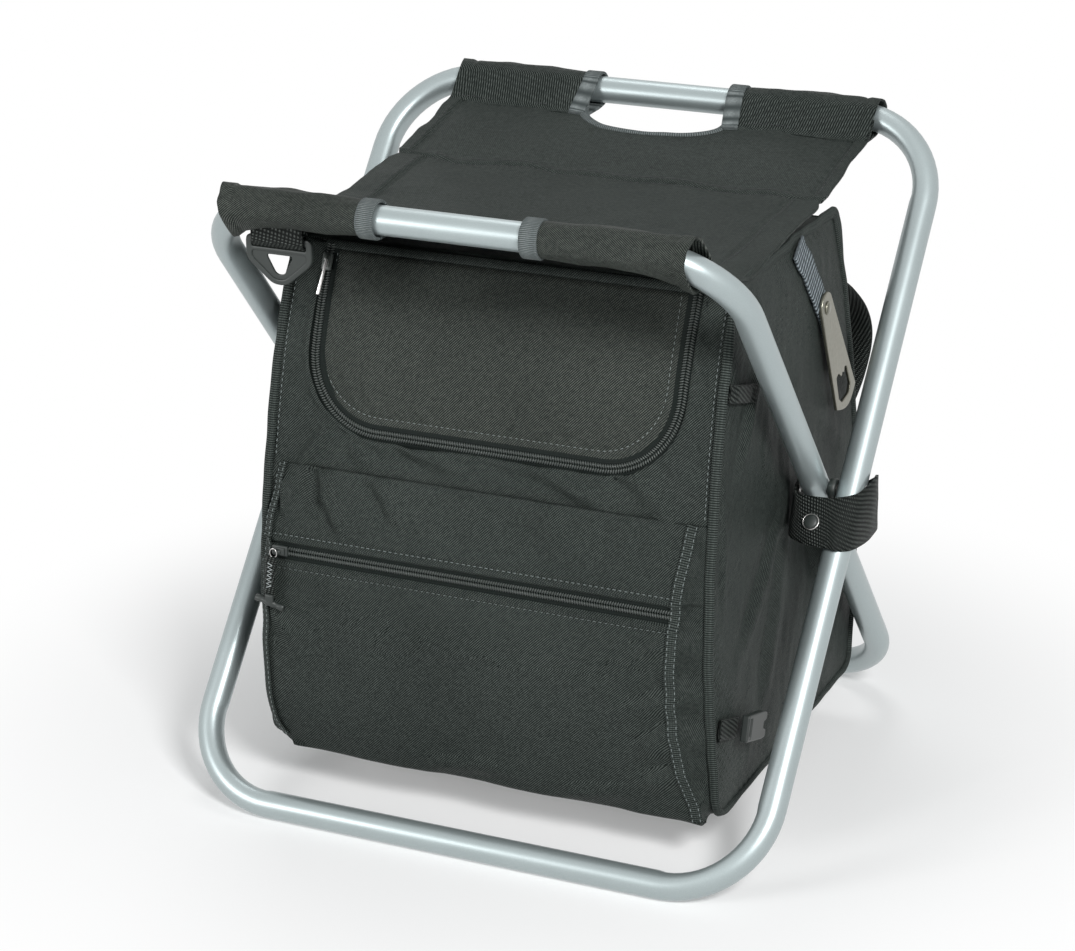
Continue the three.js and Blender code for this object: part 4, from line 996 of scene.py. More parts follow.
# %% Seat stitches
bm = empty_mesh()
lines = [[seat_point(x, CROSS_SEAM_Y + offset, 0.1) for x in range(-136, 137, 4)]
         for offset in (-3.2, 3.2)]
for hand in (1, -1):
    lines.append([seat_point(hand * (HEM_FRONT_X + 2.4), y, 0.1) for y in range(-140, 62, 4)])
    lines.append([seat_point(hand * (HEM_REAR_X + 2.0), y, 0.1) for y in range(70, 142, 4)])
for rail, side in ((REAR_RAIL, 1), (FRONT_RAIL, -1)):
    y = rail.y - side * (SLEEVE_TIP_REACH - 2.0)
    lines += [[seat_point(hand * x, y, 2.2) for x in range(66, 158, 4)] for hand in (1, -1)]
for line in lines:
    stitched(bm, line, facing(0, 0, 1))
sag_blended(finish_piece("seat_stitches", bm, dull_thread, None))

# %% [markdown]
# ## Bag shape
# The bag's side is an outline of a few measured depths with rounded corners, and its width
# grows a little towards the floor. Every cloth of the bag, its seams, zips and straps are
# laid on this one shape, so they always meet. No cloth dips further into it than `DEEPEST`.

# %% Bag outline
BAG_LOW, BAG_HIGH = 36.0, 386.0
BAG_HALF_WIDTH_LOW, BAG_HALF_WIDTH_HIGH = 165.0, 158.0
BAG_DEPTHS = [(0, 133), (0.29, 145), (0.532, 140), (0.817, 118), (1, 90)]
LOW_ROUND, TOP_ROUND = 16.0, 4.0
TOP_HALF_DEPTH, BOTTOM_REAR = 87.0, 117.0
DEEPEST = -0.9

bag_profile = smooth_line(
    [Vector((0, depth, BAG_LOW + share * (BAG_HIGH - BAG_LOW))) for share, depth in BAG_DEPTHS], 16)
profile_ys, profile_zs = [p.y for p in bag_profile], [p.z for p in bag_profile]


def depth_at(z):
    """The bag's half depth at a height, before its corners are rounded."""
    return float(np.interp(z, profile_zs, profile_ys))


def half_width_at(z):
    """Half the bag's width at a height."""
    share = (z - BAG_LOW) / (BAG_HIGH - BAG_LOW)
    return BAG_HALF_WIDTH_LOW + (BAG_HALF_WIDTH_HIGH - BAG_HALF_WIDTH_LOW) * share


def edge_depth_at(z):
    """The half depth of the bag's side at z, with its rounded corners."""
    for end, inner, radius in ((BAG_LOW, BAG_LOW + LOW_ROUND, LOW_ROUND),
                               (BAG_HIGH, BAG_HIGH - TOP_ROUND, TOP_ROUND)):
        if abs(z - end) < radius:
            t = 1 - math.sqrt(abs(z - end) / radius)
            flat = depth_at(end) - radius
            return (1 - t) ** 2 * depth_at(inner) + 2 * t * (1 - t) * depth_at(end) + t * t * flat
    return depth_at(z)


def heights(step):
    """Heights from the bag's foot to its top, closer together at the rounded corners."""
    marks = evenly(BAG_LOW, BAG_HIGH, int((BAG_HIGH - BAG_LOW) / step))
    for t in evenly(0, 1, 8):
        for z in (BAG_LOW + LOW_ROUND * (1 - t) ** 2, BAG_HIGH - TOP_ROUND * (1 - t) ** 2):
            if min(abs(z - mark) for mark in marks) > 0.2:
                marks.append(z)
    return sorted(marks)


SIDE_FOLDS = [((-20, 205), (-118, 120), 7, 2.0), ((-8, 190), (-70, 60), 8, 1.6),
              ((30, 200), (95, 90), 8, 1.6), ((-122, 306), (-124, 150), 4.5, 2.4),
              ((-52, 334), (-112, 240), 6, 2.2), ((-60, 372), (-30, 300), 5, 1.4),
              ((60, 250), (118, 215), 6, 1.4)]


def side_bulge(y, z):
    """How far the side cloth stands off the flat side."""
    across = max(1 - (y / edge_depth_at(z)) ** 2, 0) ** 0.6
    low_share = hill(z - 120, 75)
    ends = max(min((z - BAG_LOW) / 30, (BAG_HIGH - z) / 30, 1), 0)
    calm = 1 - 0.85 * hill(y - 68, 42) * hill(z - 292, 62)
    creases = 1.5 * ripple((0, y, z * 0.5), 24, 2.2)
    creases += 0.7 * ripple((0, y * 1.6, z * 0.6), 12, 6.1)
    creases += sum(fold(y, z, *line) for line in SIDE_FOLDS)
    return across * ends * (0.8 + 2.2 * low_share + creases * calm)


def side_point(y, z, hand, lift):
    return Vector((hand * (half_width_at(z) + side_bulge(y, z) + lift), y, z))


def side_loop(hand):
    """The outline of one side cloth, from the front's foot up, over the top and down the rear."""
    loop = [(-edge_depth_at(z), z) for z in heights(4)]
    inner = TOP_HALF_DEPTH - 1
    loop += [(y, BAG_HIGH) for y in evenly(-inner, inner, 42)[1:-1]]
    loop += [(edge_depth_at(z), z) for z in reversed(heights(4))]
    return loop + [(y, BAG_LOW) for y in evenly(BOTTOM_REAR, loop[0][0], 56)[1:-1]]


print("each side outline has", len(side_loop(1)), "points")

# %% [markdown]
# ## Side, top, rear and bottom cloths
# Each is a grid laid on the bag shape. The cloth is pulled in at its seams, billows a little
# between them and has soft dents, from a fixed noise, so the same bag comes out every time.

# %% Plain bag cloths
CLOTH_THICKNESS = 1.2
TOP_HALF_WIDTH, BOTTOM_HALF_WIDTH = 156.5, 163.5
SEAM_DEPTH, SEAM_REACH = 1.3, 9.0
PUCKER_HEIGHT, PUCKER_PITCH, PUCKER_REACH = 0.7, 9.0, 16.0


def faded(distance, reach):
    """1 at an edge and inside it, dying away over that reach."""
    return math.exp(-max(distance, 0) / reach)


def seam_pull(distance):
    """Cloth dips as it comes to a seam."""
    return -SEAM_DEPTH * faded(distance, SEAM_REACH)


def puckers(along, distance):
    """Short ripples that stand across a seam and die away from it."""
    swing = math.sin(math.tau * along / PUCKER_PITCH + 2.5 * ripple((along, 0, 0), 30, 9.9))
    uneven = 0.5 + ripple((along, 40, 0), 27, 4.4)
    return PUCKER_HEIGHT * swing * uneven * faded(distance, PUCKER_REACH)


rows = heights(3.6)
for side_name, hand in SIDES:

    def side_place(u, v):
        z = rows[round(v * (len(rows) - 1))]
        front, rear = -edge_depth_at(z), edge_depth_at(z)
        y = front + (rear - front) * (u if hand > 0 else 1 - u)
        edge = min(rear - y, y - front, z - BAG_LOW, BAG_HIGH - z)
        lift = seam_pull(edge) + puckers(y + z, edge)
        return side_point(y, z, hand, max(lift, DEEPEST - side_bulge(y, z)))

    bm = flattened(laid_grid(92, len(rows) - 1, side_place), from_side)
    finish_piece(f"side_cloth_{side_name}", thickened(bm, CLOTH_THICKNESS), black_cloth, "bag",
                 [f"bag_side_{side_name}"])


def rear_place(u, v):
    z = rows[round(v * (len(rows) - 1))]
    right, left = half_width_at(z) - 1.5, 1.5 - half_width_at(z)
    x = right + (left - right) * u
    edge = min(right - x, x - left, z - BAG_LOW, BAG_HIGH - z)
    lift = seam_pull(edge) + 1.8 * ripple((x, 200, z), 44, 7.7) + 0.7 * ripple((x, 90, z), 17, 3.2)
    return Vector((x, edge_depth_at(z) + max(lift + puckers(z, edge), DEEPEST), z))


def top_place(u, v):
    x, y = (2 * u - 1) * TOP_HALF_WIDTH, (2 * v - 1) * TOP_HALF_DEPTH
    edge = min(TOP_HALF_WIDTH - abs(x), TOP_HALF_DEPTH - abs(y))
    return Vector((x, y, BAG_HIGH + 0.6 * seam_pull(edge) + 0.7 * ripple((x, y, 0), 40, 1.1)))


def bottom_place(u, v):
    x = (1 - 2 * u) * BOTTOM_HALF_WIDTH
    front = -edge_depth_at(BAG_LOW)
    y = front + (BOTTOM_REAR - front) * v
    edge = min(BOTTOM_HALF_WIDTH - abs(x), y - front, BOTTOM_REAR - y)
    return Vector((x, y, BAG_LOW - 0.8 - 0.9 * ripple((x, y, 0), 50, 5.5) - 0.4 * seam_pull(edge)))


for part, place, count, view in (("rear", rear_place, len(rows) - 1, from_front),
                                 ("top", top_place, 26, from_above),
                                 ("bottom", bottom_place, 34, from_above)):
    bm = thickened(flattened(laid_grid(76, count, place), view), CLOTH_THICKNESS)
    finish_piece(f"{part}_cloth", bm, black_cloth, "bag", [f"bag_{part}_panel"])

# %% [markdown]
# ## Bound seams
# All round each side the cloths' edges are sewn together and bound in ribbed black tape.
# Down the front the binding lies flat round the corner, and along the top it stands up as a
# thin wavy rim. It is one band swept round the side's outline, whose width and height change.

# %% Bound seams
BINDING_WIDTH, BINDING_HEIGHT = 6.6, 4.6


def seam_frames(hand):
    """The binding's stations round one side: flat in front, a thin wavy rim along the top."""
    frames, loop = [], side_loop(hand)
    for n, (y, z) in enumerate(loop):
        before, after = Vector(loop[n - 1]), Vector(loop[(n + 1) % len(loop)])
        along = (after - before).normalized()
        out = Vector((0, -along.y, along.x))
        top = eased((z - 345) / 38)
        wander = (0.7 + 1.6 * top) * ripple((hand * 30, y, z), 22, 3.3)
        rise = 0.4 + 2.4 * top + 1.5 * top * ripple((hand * 80, y, z), 17, 7.9)
        centre = Vector((hand * (half_width_at(z) - 1.9 + wander), y, z)) + out * rise
        sway = Vector((hand, 0, 0)) - out * (0.35 - 0.2 * top)
        sway += out * 0.25 * ripple((hand * 60, y, z), 31, 2.8)
        sway.normalize()
        out = (out - sway * out.dot(sway)).normalized()
        frames.append((centre, sway * (1 - 0.45 * top), out * (1 + 0.8 * top)))
    return frames + frames[:1]


for side_name, hand in SIDES:
    seam = swept(seam_frames(hand), rounded_section(BINDING_WIDTH, BINDING_HEIGHT, 1.9),
                 closed=True)
    finish_piece(f"bound_seam_{side_name}", seam, black_binding, "bag",
                 [f"side_seam_{side_name}"])

# %% [markdown]
# ## Front cloth round the flap
# The front cloth has a large U-shaped opening. Its mesh is a grid that runs round the U, with
# rows from the opening's edge out to the panel's outline and closer together at the opening.
# A narrow strip closes the U at the top, where the flap is sewn on. Below the flap the cloth
# is full and lies in short slanting ripples.

# %% Flap outline
FLAP_TOP, FLAP_LOW = 379.8, 273.0
OPENING_TOP = 384.5
FLAP_HALF_WIDTH, FLAP_CORNER = 126.5, 46.0
ZIP_WIDTH = 8.0


def flap_outline(margin, step, top=OPENING_TOP):
    """The U from its upper right end down and round to its upper left end, as (x, z)."""
    half, low, radius = FLAP_HALF_WIDTH + margin, FLAP_LOW - margin, FLAP_CORNER + margin
    count = max(int((top - low - radius) / step), 2)
    points = [(half, z) for z in np.linspace(top, low + radius, count)]
    turns = max(int(radius * math.pi / 2 / step), 4)
    points += [(half - radius + radius * math.cos(a), low + radius - radius * math.sin(a))
               for a in np.linspace(0, math.pi / 2, turns)[1:]]
    inner = half - radius
    foot = [(x, low) for x in np.linspace(inner, -inner, int(2 * inner / step))[1:-1]]
    return points + foot + [(-x, z) for x, z in reversed(points)]


def zip_distance(x, z):
    """How far a place on the front lies outside the flap's edge, in mm."""
    half, low, radius = FLAP_HALF_WIDTH, FLAP_LOW, FLAP_CORNER
    if z > low + radius or abs(x) < half - radius:
        return max(abs(x) - half, low - z)
    return math.hypot(abs(x) - (half - radius), z - (low + radius)) - radius


FRONT_FOLDS = [((30, 262), (92, 246), 5, 3.0), ((-60, 266), (-10, 250), 6, 2.8),
               ((96, 272), (138, 236), 6, 3.0), ((-118, 268), (-140, 236), 5, 3.0),
               ((-96, 258), (-84, 244), 4, 2.2)]


def front_relief(x, z):
    """How far the front cloth stands off the bag's shape, fuller below the flap."""
    beyond = zip_distance(x, z) - ZIP_WIDTH
    side = min(half_width_at(z) - x, x + half_width_at(z))
    slanted = x * 0.8 + (z - FLAP_LOW) * 1.3
    swing = math.sin(math.tau * slanted / 21 + 3 * ripple((x, 0, z), 60, 2.0))
    full = 1.7 * faded(beyond, 13) * swing
    full *= 0.35 + 0.65 * min(max((FLAP_LOW + 30 - z) / 40, 0), 1)
    lip = 1.6 * hill(beyond - 2.2, 2.4)
    folds = sum(fold(x, z, *line) for line in FRONT_FOLDS)
    top = eased((OPENING_TOP + 6 - z) / 40)
    soft = 2.4 * ripple((x, 0, z), 42, 1.3) + 0.9 * ripple((x * 1.5, 0, z), 14, 7.1)
    gathers = full * min(max(beyond / 5, 0), 1)
    return max(seam_pull(side) + gathers + (lip + soft + folds) * top, DEEPEST)


def front_point(x, z):
    return Vector((x, -(edge_depth_at(z) + front_relief(x, z)), z))

# %% Front cloth
PANEL_TOP = BAG_HIGH - 0.2
HINGE_LOW, HINGE_UNDER = 375.0, 1.5
FRONT_THICKNESS = 1.4
SIDE_STEPS, FOOT_STEPS, PANEL_ROWS = 60, 26, 44

opening = flap_outline(ZIP_WIDTH, 2.0)
opening_run = np.cumsum([0] + [math.dist(a, b) for a, b in zip(opening, opening[1:])])
corner = OPENING_TOP - FLAP_LOW - FLAP_CORNER + (FLAP_CORNER + ZIP_WIDTH) * math.pi / 4
opening_marks = np.concatenate([
    evenly(0, corner, SIDE_STEPS),
    evenly(corner, opening_run[-1] - corner, 2 * FOOT_STEPS)[1:],
    evenly(opening_run[-1] - corner, opening_run[-1], SIDE_STEPS)[1:]])
opening_edge = list(zip(np.interp(opening_marks, opening_run, [x for x, z in opening]),
                        np.interp(opening_marks, opening_run, [z for x, z in opening])))
falling = np.linspace(PANEL_TOP, BAG_LOW, SIDE_STEPS + 1)
foot = half_width_at(BAG_LOW) - 1
panel_edge = [(half_width_at(z) - 1, z) for z in falling]
panel_edge += [(x, BAG_LOW) for x in np.linspace(foot, -foot, 2 * FOOT_STEPS + 1)[1:]]
panel_edge += [(1 - half_width_at(z), z) for z in falling[::-1][1:]]


def front_place(u, v):
    n = round(u * (len(panel_edge) - 1))
    (x, z), (panel_x, panel_z) = opening_edge[n], panel_edge[n]
    share = v ** 1.5
    return front_point(x + (panel_x - x) * share, z + (panel_z - z) * share)


def hinge_place(u, v):
    """The strip above the flap. Its lower part steps back, so that the flap lies over it."""
    half = FLAP_HALF_WIDTH + ZIP_WIDTH
    z = HINGE_LOW + (PANEL_TOP - HINGE_LOW) * v
    under = HINGE_UNDER * eased((FLAP_TOP + 1.4 - z) / 1.2)
    return Vector((half * (2 * u - 1), -(edge_depth_at(z) + 0.3 - under), z))


bm = faced(laid_grid(len(panel_edge) - 1, PANEL_ROWS, front_place), Vector((0, -1, 0)))
bm = flattened(merged(bm, laid_grid(60, 18, hinge_place)), from_front)
finish_piece("front_cloth", thickened(bm, FRONT_THICKNESS), black_cloth, "bag",
             ["bag_front_panel"])

# %% [markdown]
# ## Flap
# The flap is padded: cloth outside, foam within and foil lining behind. Two grids with the
# same columns and rows make its face and its back, their lower rows drawn in round the two
# corners, and bridging their rims closes the cushion. The face is raised in the middle, dips
# along its stitching and rolls back at its edge.

# %% Flap
FLAP_THICKNESS, FLAP_PUFF = 6.4, 4.6
FLAP_COLUMNS = 84
STITCH_HALF, STITCH_SHIFT, STITCH_LOW, STITCH_CORNER = 122.4, -2.6, 279.5, 44.0


def flap_half_at(z):
    """Half the flap's width at a height, less where its corners are round."""
    into = max(FLAP_LOW + FLAP_CORNER - z, 0)
    return FLAP_HALF_WIDTH - FLAP_CORNER + math.sqrt(max(FLAP_CORNER ** 2 - into ** 2, 0))


corner_rows = [FLAP_LOW + FLAP_CORNER * (1 - math.cos(a)) for a in evenly(0.02, math.pi / 2, 25)]
flap_rows = corner_rows + evenly(FLAP_LOW + FLAP_CORNER, FLAP_TOP, 19)[1:]
flap_columns = [0.5 * math.sin(math.pi * (n / FLAP_COLUMNS - 0.5)) + (n / FLAP_COLUMNS - 0.5)
                for n in range(FLAP_COLUMNS + 1)]


def stitch_distance(x, z):
    """How far a place on the flap lies inside its line of stitches."""
    aside = abs(x - STITCH_SHIFT)
    if z > STITCH_LOW + STITCH_CORNER or aside < STITCH_HALF - STITCH_CORNER:
        return min(STITCH_HALF - aside, z - STITCH_LOW)
    return STITCH_CORNER - math.hypot(aside - (STITCH_HALF - STITCH_CORNER),
                                      z - (STITCH_LOW + STITCH_CORNER))


def flap_relief(x, z):
    """How far the flap's face stands off the bag's shape."""
    rim, inside = -zip_distance(x, z), stitch_distance(x, z)
    top = eased((FLAP_TOP + 2 - z) / 30)
    rise = 1 - faded(inside, 24)
    roll = -2.2 * faded(rim, 0.9)
    groove = -0.9 * hill(inside, 1.2)
    slanted = x + (z - FLAP_LOW) * 0.4
    swing = math.sin(math.tau * slanted / 16 + 4 * ripple((x, 5, z), 50, 6.6))
    gather = 0.9 * faded(abs(inside - 5), 14) * swing * eased(inside / 8)
    soft = 1.6 * ripple((x, 70, z), 60, 4.2) + 0.7 * ripple((x, 20, z), 24, 3.4)
    return FLAP_PUFF * rise * top + roll + (groove + gather) * top + soft * top * eased(inside / 20)


def flap_point(x, z, lift=0.0):
    return Vector((x, -(edge_depth_at(min(z, FLAP_TOP)) + flap_relief(x, z) + lift), z))


def flap_place(u, v):
    z = flap_rows[round(v * (len(flap_rows) - 1))]
    return flap_point(flap_columns[round(u * FLAP_COLUMNS)] * flap_half_at(z), z)


def flap_back_place(u, v):
    z = flap_rows[round(v * (len(flap_rows) - 1))]
    x = flap_columns[round(u * FLAP_COLUMNS)] * (flap_half_at(z) - 0.8)
    return Vector((x, FLAP_THICKNESS - edge_depth_at(min(z, FLAP_TOP)), z))


bm = laid_grid(FLAP_COLUMNS, len(flap_rows) - 1, flap_place)
back = laid_grid(FLAP_COLUMNS, len(flap_rows) - 1, flap_back_place)
bmesh.ops.reverse_faces(back, faces=back.faces)
for face in back.faces:
    face.material_index = 1
merged(bm, back)
bmesh.ops.bridge_loops(bm, edges=[edge for edge in bm.edges if edge.is_boundary])
flattened(bm, from_front)
bmesh.ops.recalc_face_normals(bm, faces=bm.faces)
# The flap's face wears the lighter twill copy, which is painted light and sheen on the flap.
flap = finish_piece("flap_cushion", bm, lit_black_cloth, "flap", ["bag_flap"])
flap.data.materials.append(liner_grey)

stitch_rise = STITCH_LOW + STITCH_CORNER
stitch_line = [(STITCH_SHIFT + STITCH_HALF, z) for z in np.linspace(FLAP_TOP - 1, stitch_rise, 24)]
stitch_line += [(STITCH_SHIFT + STITCH_HALF - STITCH_CORNER * (1 - math.cos(a)),
                 stitch_rise - STITCH_CORNER * math.sin(a)) for a in evenly(0, math.pi / 2, 25)[1:]]
stitch_line += [(2 * STITCH_SHIFT - x, z) for x, z in reversed(stitch_line)]
bm = stitched(empty_mesh(), [flap_point(x, z, 0.1) for x, z in stitch_line], facing(0, -1, 0.3))
finish_piece("flap_stitches", bm, pale_thread, "flap")

# %% [markdown]
# ## Zips
# A zip is two woven tapes with a row of interlocking coil turns between them. The tape is a
# thin band swept along the opening. Each coil turn is a tiny squashed ball leaning one way or
# the other, so the two rows make the chevrons that a real coil zip shows.

# %% Zip tapes and coils
COIL_PITCH, COIL_REACH = 1.75, 1.6


def coil(points, out_at):
    """Two rows of coil turns that lean together, one on each side of the line."""
    bm = empty_mesh()
    for point, along, out, side in bearings(points, COIL_PITCH, out_at):
        for hand in (1, -1):
            lean = (side * hand + along * 0.35).normalized()
            cross = lean.cross(out).normalized()
            bead(bm, point + side * hand * COIL_REACH + out * 0.6, lean * 1.7, cross * 0.55,
                 out * 1.3)
    return bm


def front_out(point):
    slope = (depth_at(point.z + 4) - depth_at(point.z - 4)) / 8
    return Vector((0, -1, -slope)).normalized()


def zip_line_point(x, z, lift):
    return Vector((x, -(edge_depth_at(z) + lift), z))


zip_line = [zip_line_point(x, z, -0.7)
            for x, z in flap_outline(ZIP_WIDTH / 2, 3.0, OPENING_TOP - 0.5)]
finish_piece("flap_zip_tape", ribbon(zip_line, front_out, ZIP_WIDTH + 7, 0.9, 4), zip_tape_cloth,
             "bag", ["flap_zip_chain"])
coil_line = [point + front_out(point) * 0.3 for point in zip_line]
finish_piece("flap_zip_coil", coil(coil_line, front_out), zip_black, "bag")

# %% [markdown]
# ## Front pocket
# The pocket is a shallow box of cloth: a front that bulges most at half height, and a gusset
# on each side that slopes back to the bag's seam. One grid makes front and gussets. The zip
# lies in a groove across it, and a double-stitched ribbed binding runs down each edge.

# %% Pocket shape
POCKET_LOW, POCKET_TOP = 38.0, 243.0
POCKET_STAND, POCKET_FOOT_ROUND = 15.0, 5.0
POCKET_SHAPE = [(0, 0.74), (0.12, 0.88), (0.3, 0.98), (0.5, 1), (0.72, 0.86), (0.86, 0.6),
                (1, 0.12)]
POCKET_ZIP_Z = 186.0
POCKET_RIGHT = [(36, 156.0), (48, 154.0), (60, 150.5), (90, 145.0), (115, 142.5), (144, 141.5),
                (190, 143.0), (215, 145.5), (247, 148.5)]
POCKET_LEFT = [(32, 138.0), (35, 143.0), (39, 149.0), (44, 153.5), (51, 156.8), (60, 158.4),
               (78, 158.8), (118, 156.5), (149, 154.4), (178, 154.0), (199, 153.0), (212, 152.0),
               (224, 150.4), (247, 148.0)]
GUSSET_COLUMNS, POCKET_COLUMNS = 8, 110

stand_line = smooth_line(
    [Vector((0, POCKET_STAND * stand, POCKET_LOW + share * (POCKET_TOP - POCKET_LOW)))
     for share, stand in POCKET_SHAPE])
stand_ys, stand_zs = [p.y for p in stand_line], [p.z for p in stand_line]
edge_lines = {hand: smooth_line([Vector((x, 0, z)) for z, x in places], 6)
              for hand, places in ((1, POCKET_RIGHT), (-1, POCKET_LEFT))}


def pocket_edge_at(z, hand):
    """How far out the pocket's bound edge lies on one side at a height."""
    line = edge_lines[hand]
    return float(np.interp(z, [p.z for p in line], [p.x for p in line]))


def pocket_stand_at(z, x=0.0):
    """How far the pocket's front stands off the bag, less at its lower left corner."""
    if z < POCKET_LOW:
        below = (POCKET_LOW - z) / POCKET_FOOT_ROUND
        return stand_ys[0] * math.sqrt(max(1 - below ** 2, 0))
    stand = float(np.interp(z, stand_zs, stand_ys))
    return stand - 4 * eased((-x - 128) / 26) * eased((90 - z) / 50)


POCKET_FOLDS = [((-119, 246), (-108, 220), 4.4, 3.6), ((-113, 230), (-92, 198), 5, 3.4),
                ((-78, 244), (-52, 212), 6.5, 2.8), ((-145, 234), (-138, 204), 3.6, 2.6),
                ((-20, 241), (6, 206), 9, 1.3), ((40, 242), (62, 208), 8, 1.3),
                ((96, 240), (108, 206), 6, 1.2), ((134, 170), (112, 150), 5, 1.4),
                ((138, 128), (108, 112), 6, 1.6), ((140, 104), (112, 82), 6, 1.6),
                ((146, 76), (116, 58), 6, 1.8), ((-40, 44), (30, 52), 6, 1.6),
                ((60, 42), (120, 54), 7, 1.6), ((-150, 150), (-132, 118), 6, 1.2)]


def pocket_relief(x, z):
    """The zip's groove and its lips, the belly below it, and the pocket's creases."""
    above = z - POCKET_ZIP_Z
    groove = -2.8 / (1 + (abs(above) / 6.4) ** 14)
    lips = 0.9 * (hill(above - 8.8, 1.6) + hill(above + 8.2, 1.6))
    pinch = -0.8 * (hill(above - 10.9, 1.1) + hill(above + 11.5, 1.1))
    belly = 2.2 * hill(z - 105, 48) * (1 - (x / 165) ** 2)
    near_top = max(POCKET_TOP - z, 0)
    swing = math.sin(math.tau * (z + 0.6 * x) / 26 + 5 * ripple((x, 3, z), 45, 8.3))
    drag = 0.8 * faded(pocket_edge_at(z, 1) - x, 17) * swing
    quiet = eased((abs(above) - 11) / 12)
    soft = 2.3 * ripple((x, 33, z), 52, 5.8) + 0.9 * ripple((x, 12, z), 21, 2.6)
    folds = sum(fold(x, z, *line) for line in POCKET_FOLDS) * eased(near_top / 5)
    return groove + lips + pinch + (belly + drag + soft * eased(near_top / 20) + folds) * quiet


def pocket_point(x, z, lift=0.0):
    return Vector((x, -(depth_at(z) + pocket_stand_at(z, x) + pocket_relief(x, z) + lift), z))


def pocket_out(point):
    return Vector((0, -1, -(depth_at(point.z + 4) - depth_at(point.z - 4)
                            + pocket_stand_at(point.z + 4) - pocket_stand_at(point.z - 4)) / 8))

# %% Pocket cloth
pocket_rows = sorted(set(
    [32.6, 33.0, 33.8, 35.0, 36.4, 38.0]
    + [round(z, 2) for z in np.linspace(40, 174, 54)]
    + [round(z, 2) for z in np.linspace(175, 198, 36)]
    + [round(z, 2) for z in np.linspace(200, POCKET_TOP, 26)]))


def pocket_place(u, v):
    z = pocket_rows[round(v * (len(pocket_rows) - 1))]
    column = round(u * (POCKET_COLUMNS + 2 * GUSSET_COLUMNS)) - GUSSET_COLUMNS
    left, right = -pocket_edge_at(z, -1), pocket_edge_at(z, 1)
    if 0 <= column <= POCKET_COLUMNS:
        return pocket_point(left + (right - left) * column / POCKET_COLUMNS, z)
    hand = 1 if column > 0 else -1
    share = (column - POCKET_COLUMNS if hand > 0 else -column) / GUSSET_COLUMNS
    start = pocket_point(right if hand > 0 else left, z)
    end_x = hand * (half_width_at(z) - 3.5)
    end = Vector((end_x, -(edge_depth_at(max(z, BAG_LOW)) + 0.3), max(z, BAG_LOW)))
    hollow = math.sin(math.pi * share) * (2.2 + 3.4 * ripple((hand * 7, share * 9, z), 15, 1.9)
                                          + 1.0 * math.sin(z / 5.5))
    return start.lerp(end, share) + Vector((-hand * hollow, hollow * 0.6, 0))


def pocket_flat(x, y, z):
    """The gussets run back from the front, so their depth counts as width."""
    behind = (y + depth_at(z) + pocket_stand_at(z, x)) * eased((abs(x) - 110) / 25)
    return x + math.copysign(behind, x), z


bm = laid_grid(POCKET_COLUMNS + 2 * GUSSET_COLUMNS, len(pocket_rows) - 1, pocket_place)
finish_piece("pocket_cloth", thickened(flattened(bm, pocket_flat), CLOTH_THICKNESS), black_cloth,
             "bag", ["front_pocket"])

# %% Pocket zip, bindings and stitches
TAPE_ENDS, COIL_ENDS, STITCH_ENDS = (-145, 141), (-137, 140), (-149, 139)
STITCH_RISES = (11.0, -11.6)

line = [pocket_point(x, POCKET_ZIP_Z, 0.5) for x in evenly(*TAPE_ENDS, 96)]
finish_piece("pocket_zip_tape", ribbon(line, pocket_out, 13.6, 0.8, 6), zip_tape_cloth, "bag",
             ["pocket_zip_chain"])
line = [pocket_point(x, POCKET_ZIP_Z, 0.8) for x in evenly(*COIL_ENDS, 92)]
finish_piece("pocket_zip_coil", coil(line, pocket_out), zip_black, "bag")

stitches = empty_mesh()
for rise in STITCH_RISES:
    row = [pocket_point(x, POCKET_ZIP_Z + rise, 0.3) for x in evenly(*STITCH_ENDS, 72)]
    stitched(stitches, row, pocket_out)
for side_name, hand, low_end, turned_out in (("right", 1, 37, 0.3), ("left", -1, 42, 0.7)):
    edge = [pocket_point(hand * (pocket_edge_at(z, hand) - 1.5), z, 0.6)
            for z in evenly(low_end, POCKET_TOP, 75)]
    frames = stations(edge, lambda p: pocket_out(p) + Vector((hand * turned_out, 0, 0)))
    finish_piece(f"pocket_edge_{side_name}", swept(frames, band_section(7.8, 1.5, 6)),
                 black_binding, "bag", [f"pocket_binding_{side_name}"])
    for shift in (-2.6, 2.6):
        row = [centre + across * shift + out * 0.75 for centre, across, out in frames]
        stitched(stitches, row, pocket_out)
for hand in (1, -1):
    row = [zip_line_point(hand * (half_width_at(z) - 7.2), z, 1.2) for z in evenly(246, 380, 59)]
    stitched(stitches, row, front_out)
finish_piece("front_stitches", stitches, pale_thread, "bag")

# %% [markdown]
# ## Zip sliders and pulls
# A slider is a small hollow body with a bridge on its back, and the pull hangs from the
# bridge. Small parts like these are boxes whose edges are bevelled until they look cast.

# %% Sliders and pulls


def block(size, centre, bevel):
    """A box with rounded edges."""
    bm = empty_mesh()
    bmesh.ops.create_cube(bm, size=1.0)
    bmesh.ops.scale(bm, vec=size, verts=bm.verts)
    bmesh.ops.bevel(bm, geom=bm.edges[:], offset=bevel, offset_type="OFFSET", affect="EDGES",
                    segments=3, profile=0.5, material=-1)
    return set_down(bm, centre)


def slider_body():
    """A zip slider drawn round the origin, with its bridge towards the front."""
    body = block((7.2, 2.6, 11.5), (0, 0, 0), 1.0)
    merged(body, block((5.2, 1.6, 8.0), (0, -1.6, 0), 0.7))
    arch = [Vector((0, -2.0 - 1.9 * math.sin(a), 1.6 + 2.9 * math.cos(a)))
            for a in evenly(0, math.pi, 12)]
    frames = stations(arch, lambda p: p - Vector((0, -1.6, 1.6)))
    return merged(body, swept(frames, rounded_section(2.2, 1.0, 0.4, 2)))


FLAP_SLIDER = zip_line_point(-130.4, 373.0, 2.4)
FLAP_TILT = -math.atan2(depth_at(356) - depth_at(374), 18)
POCKET_SLIDER = Vector((-140.0, -160.8, 188.0))
PULL_SLANT, PULL_PITCH = -0.07, 1.5

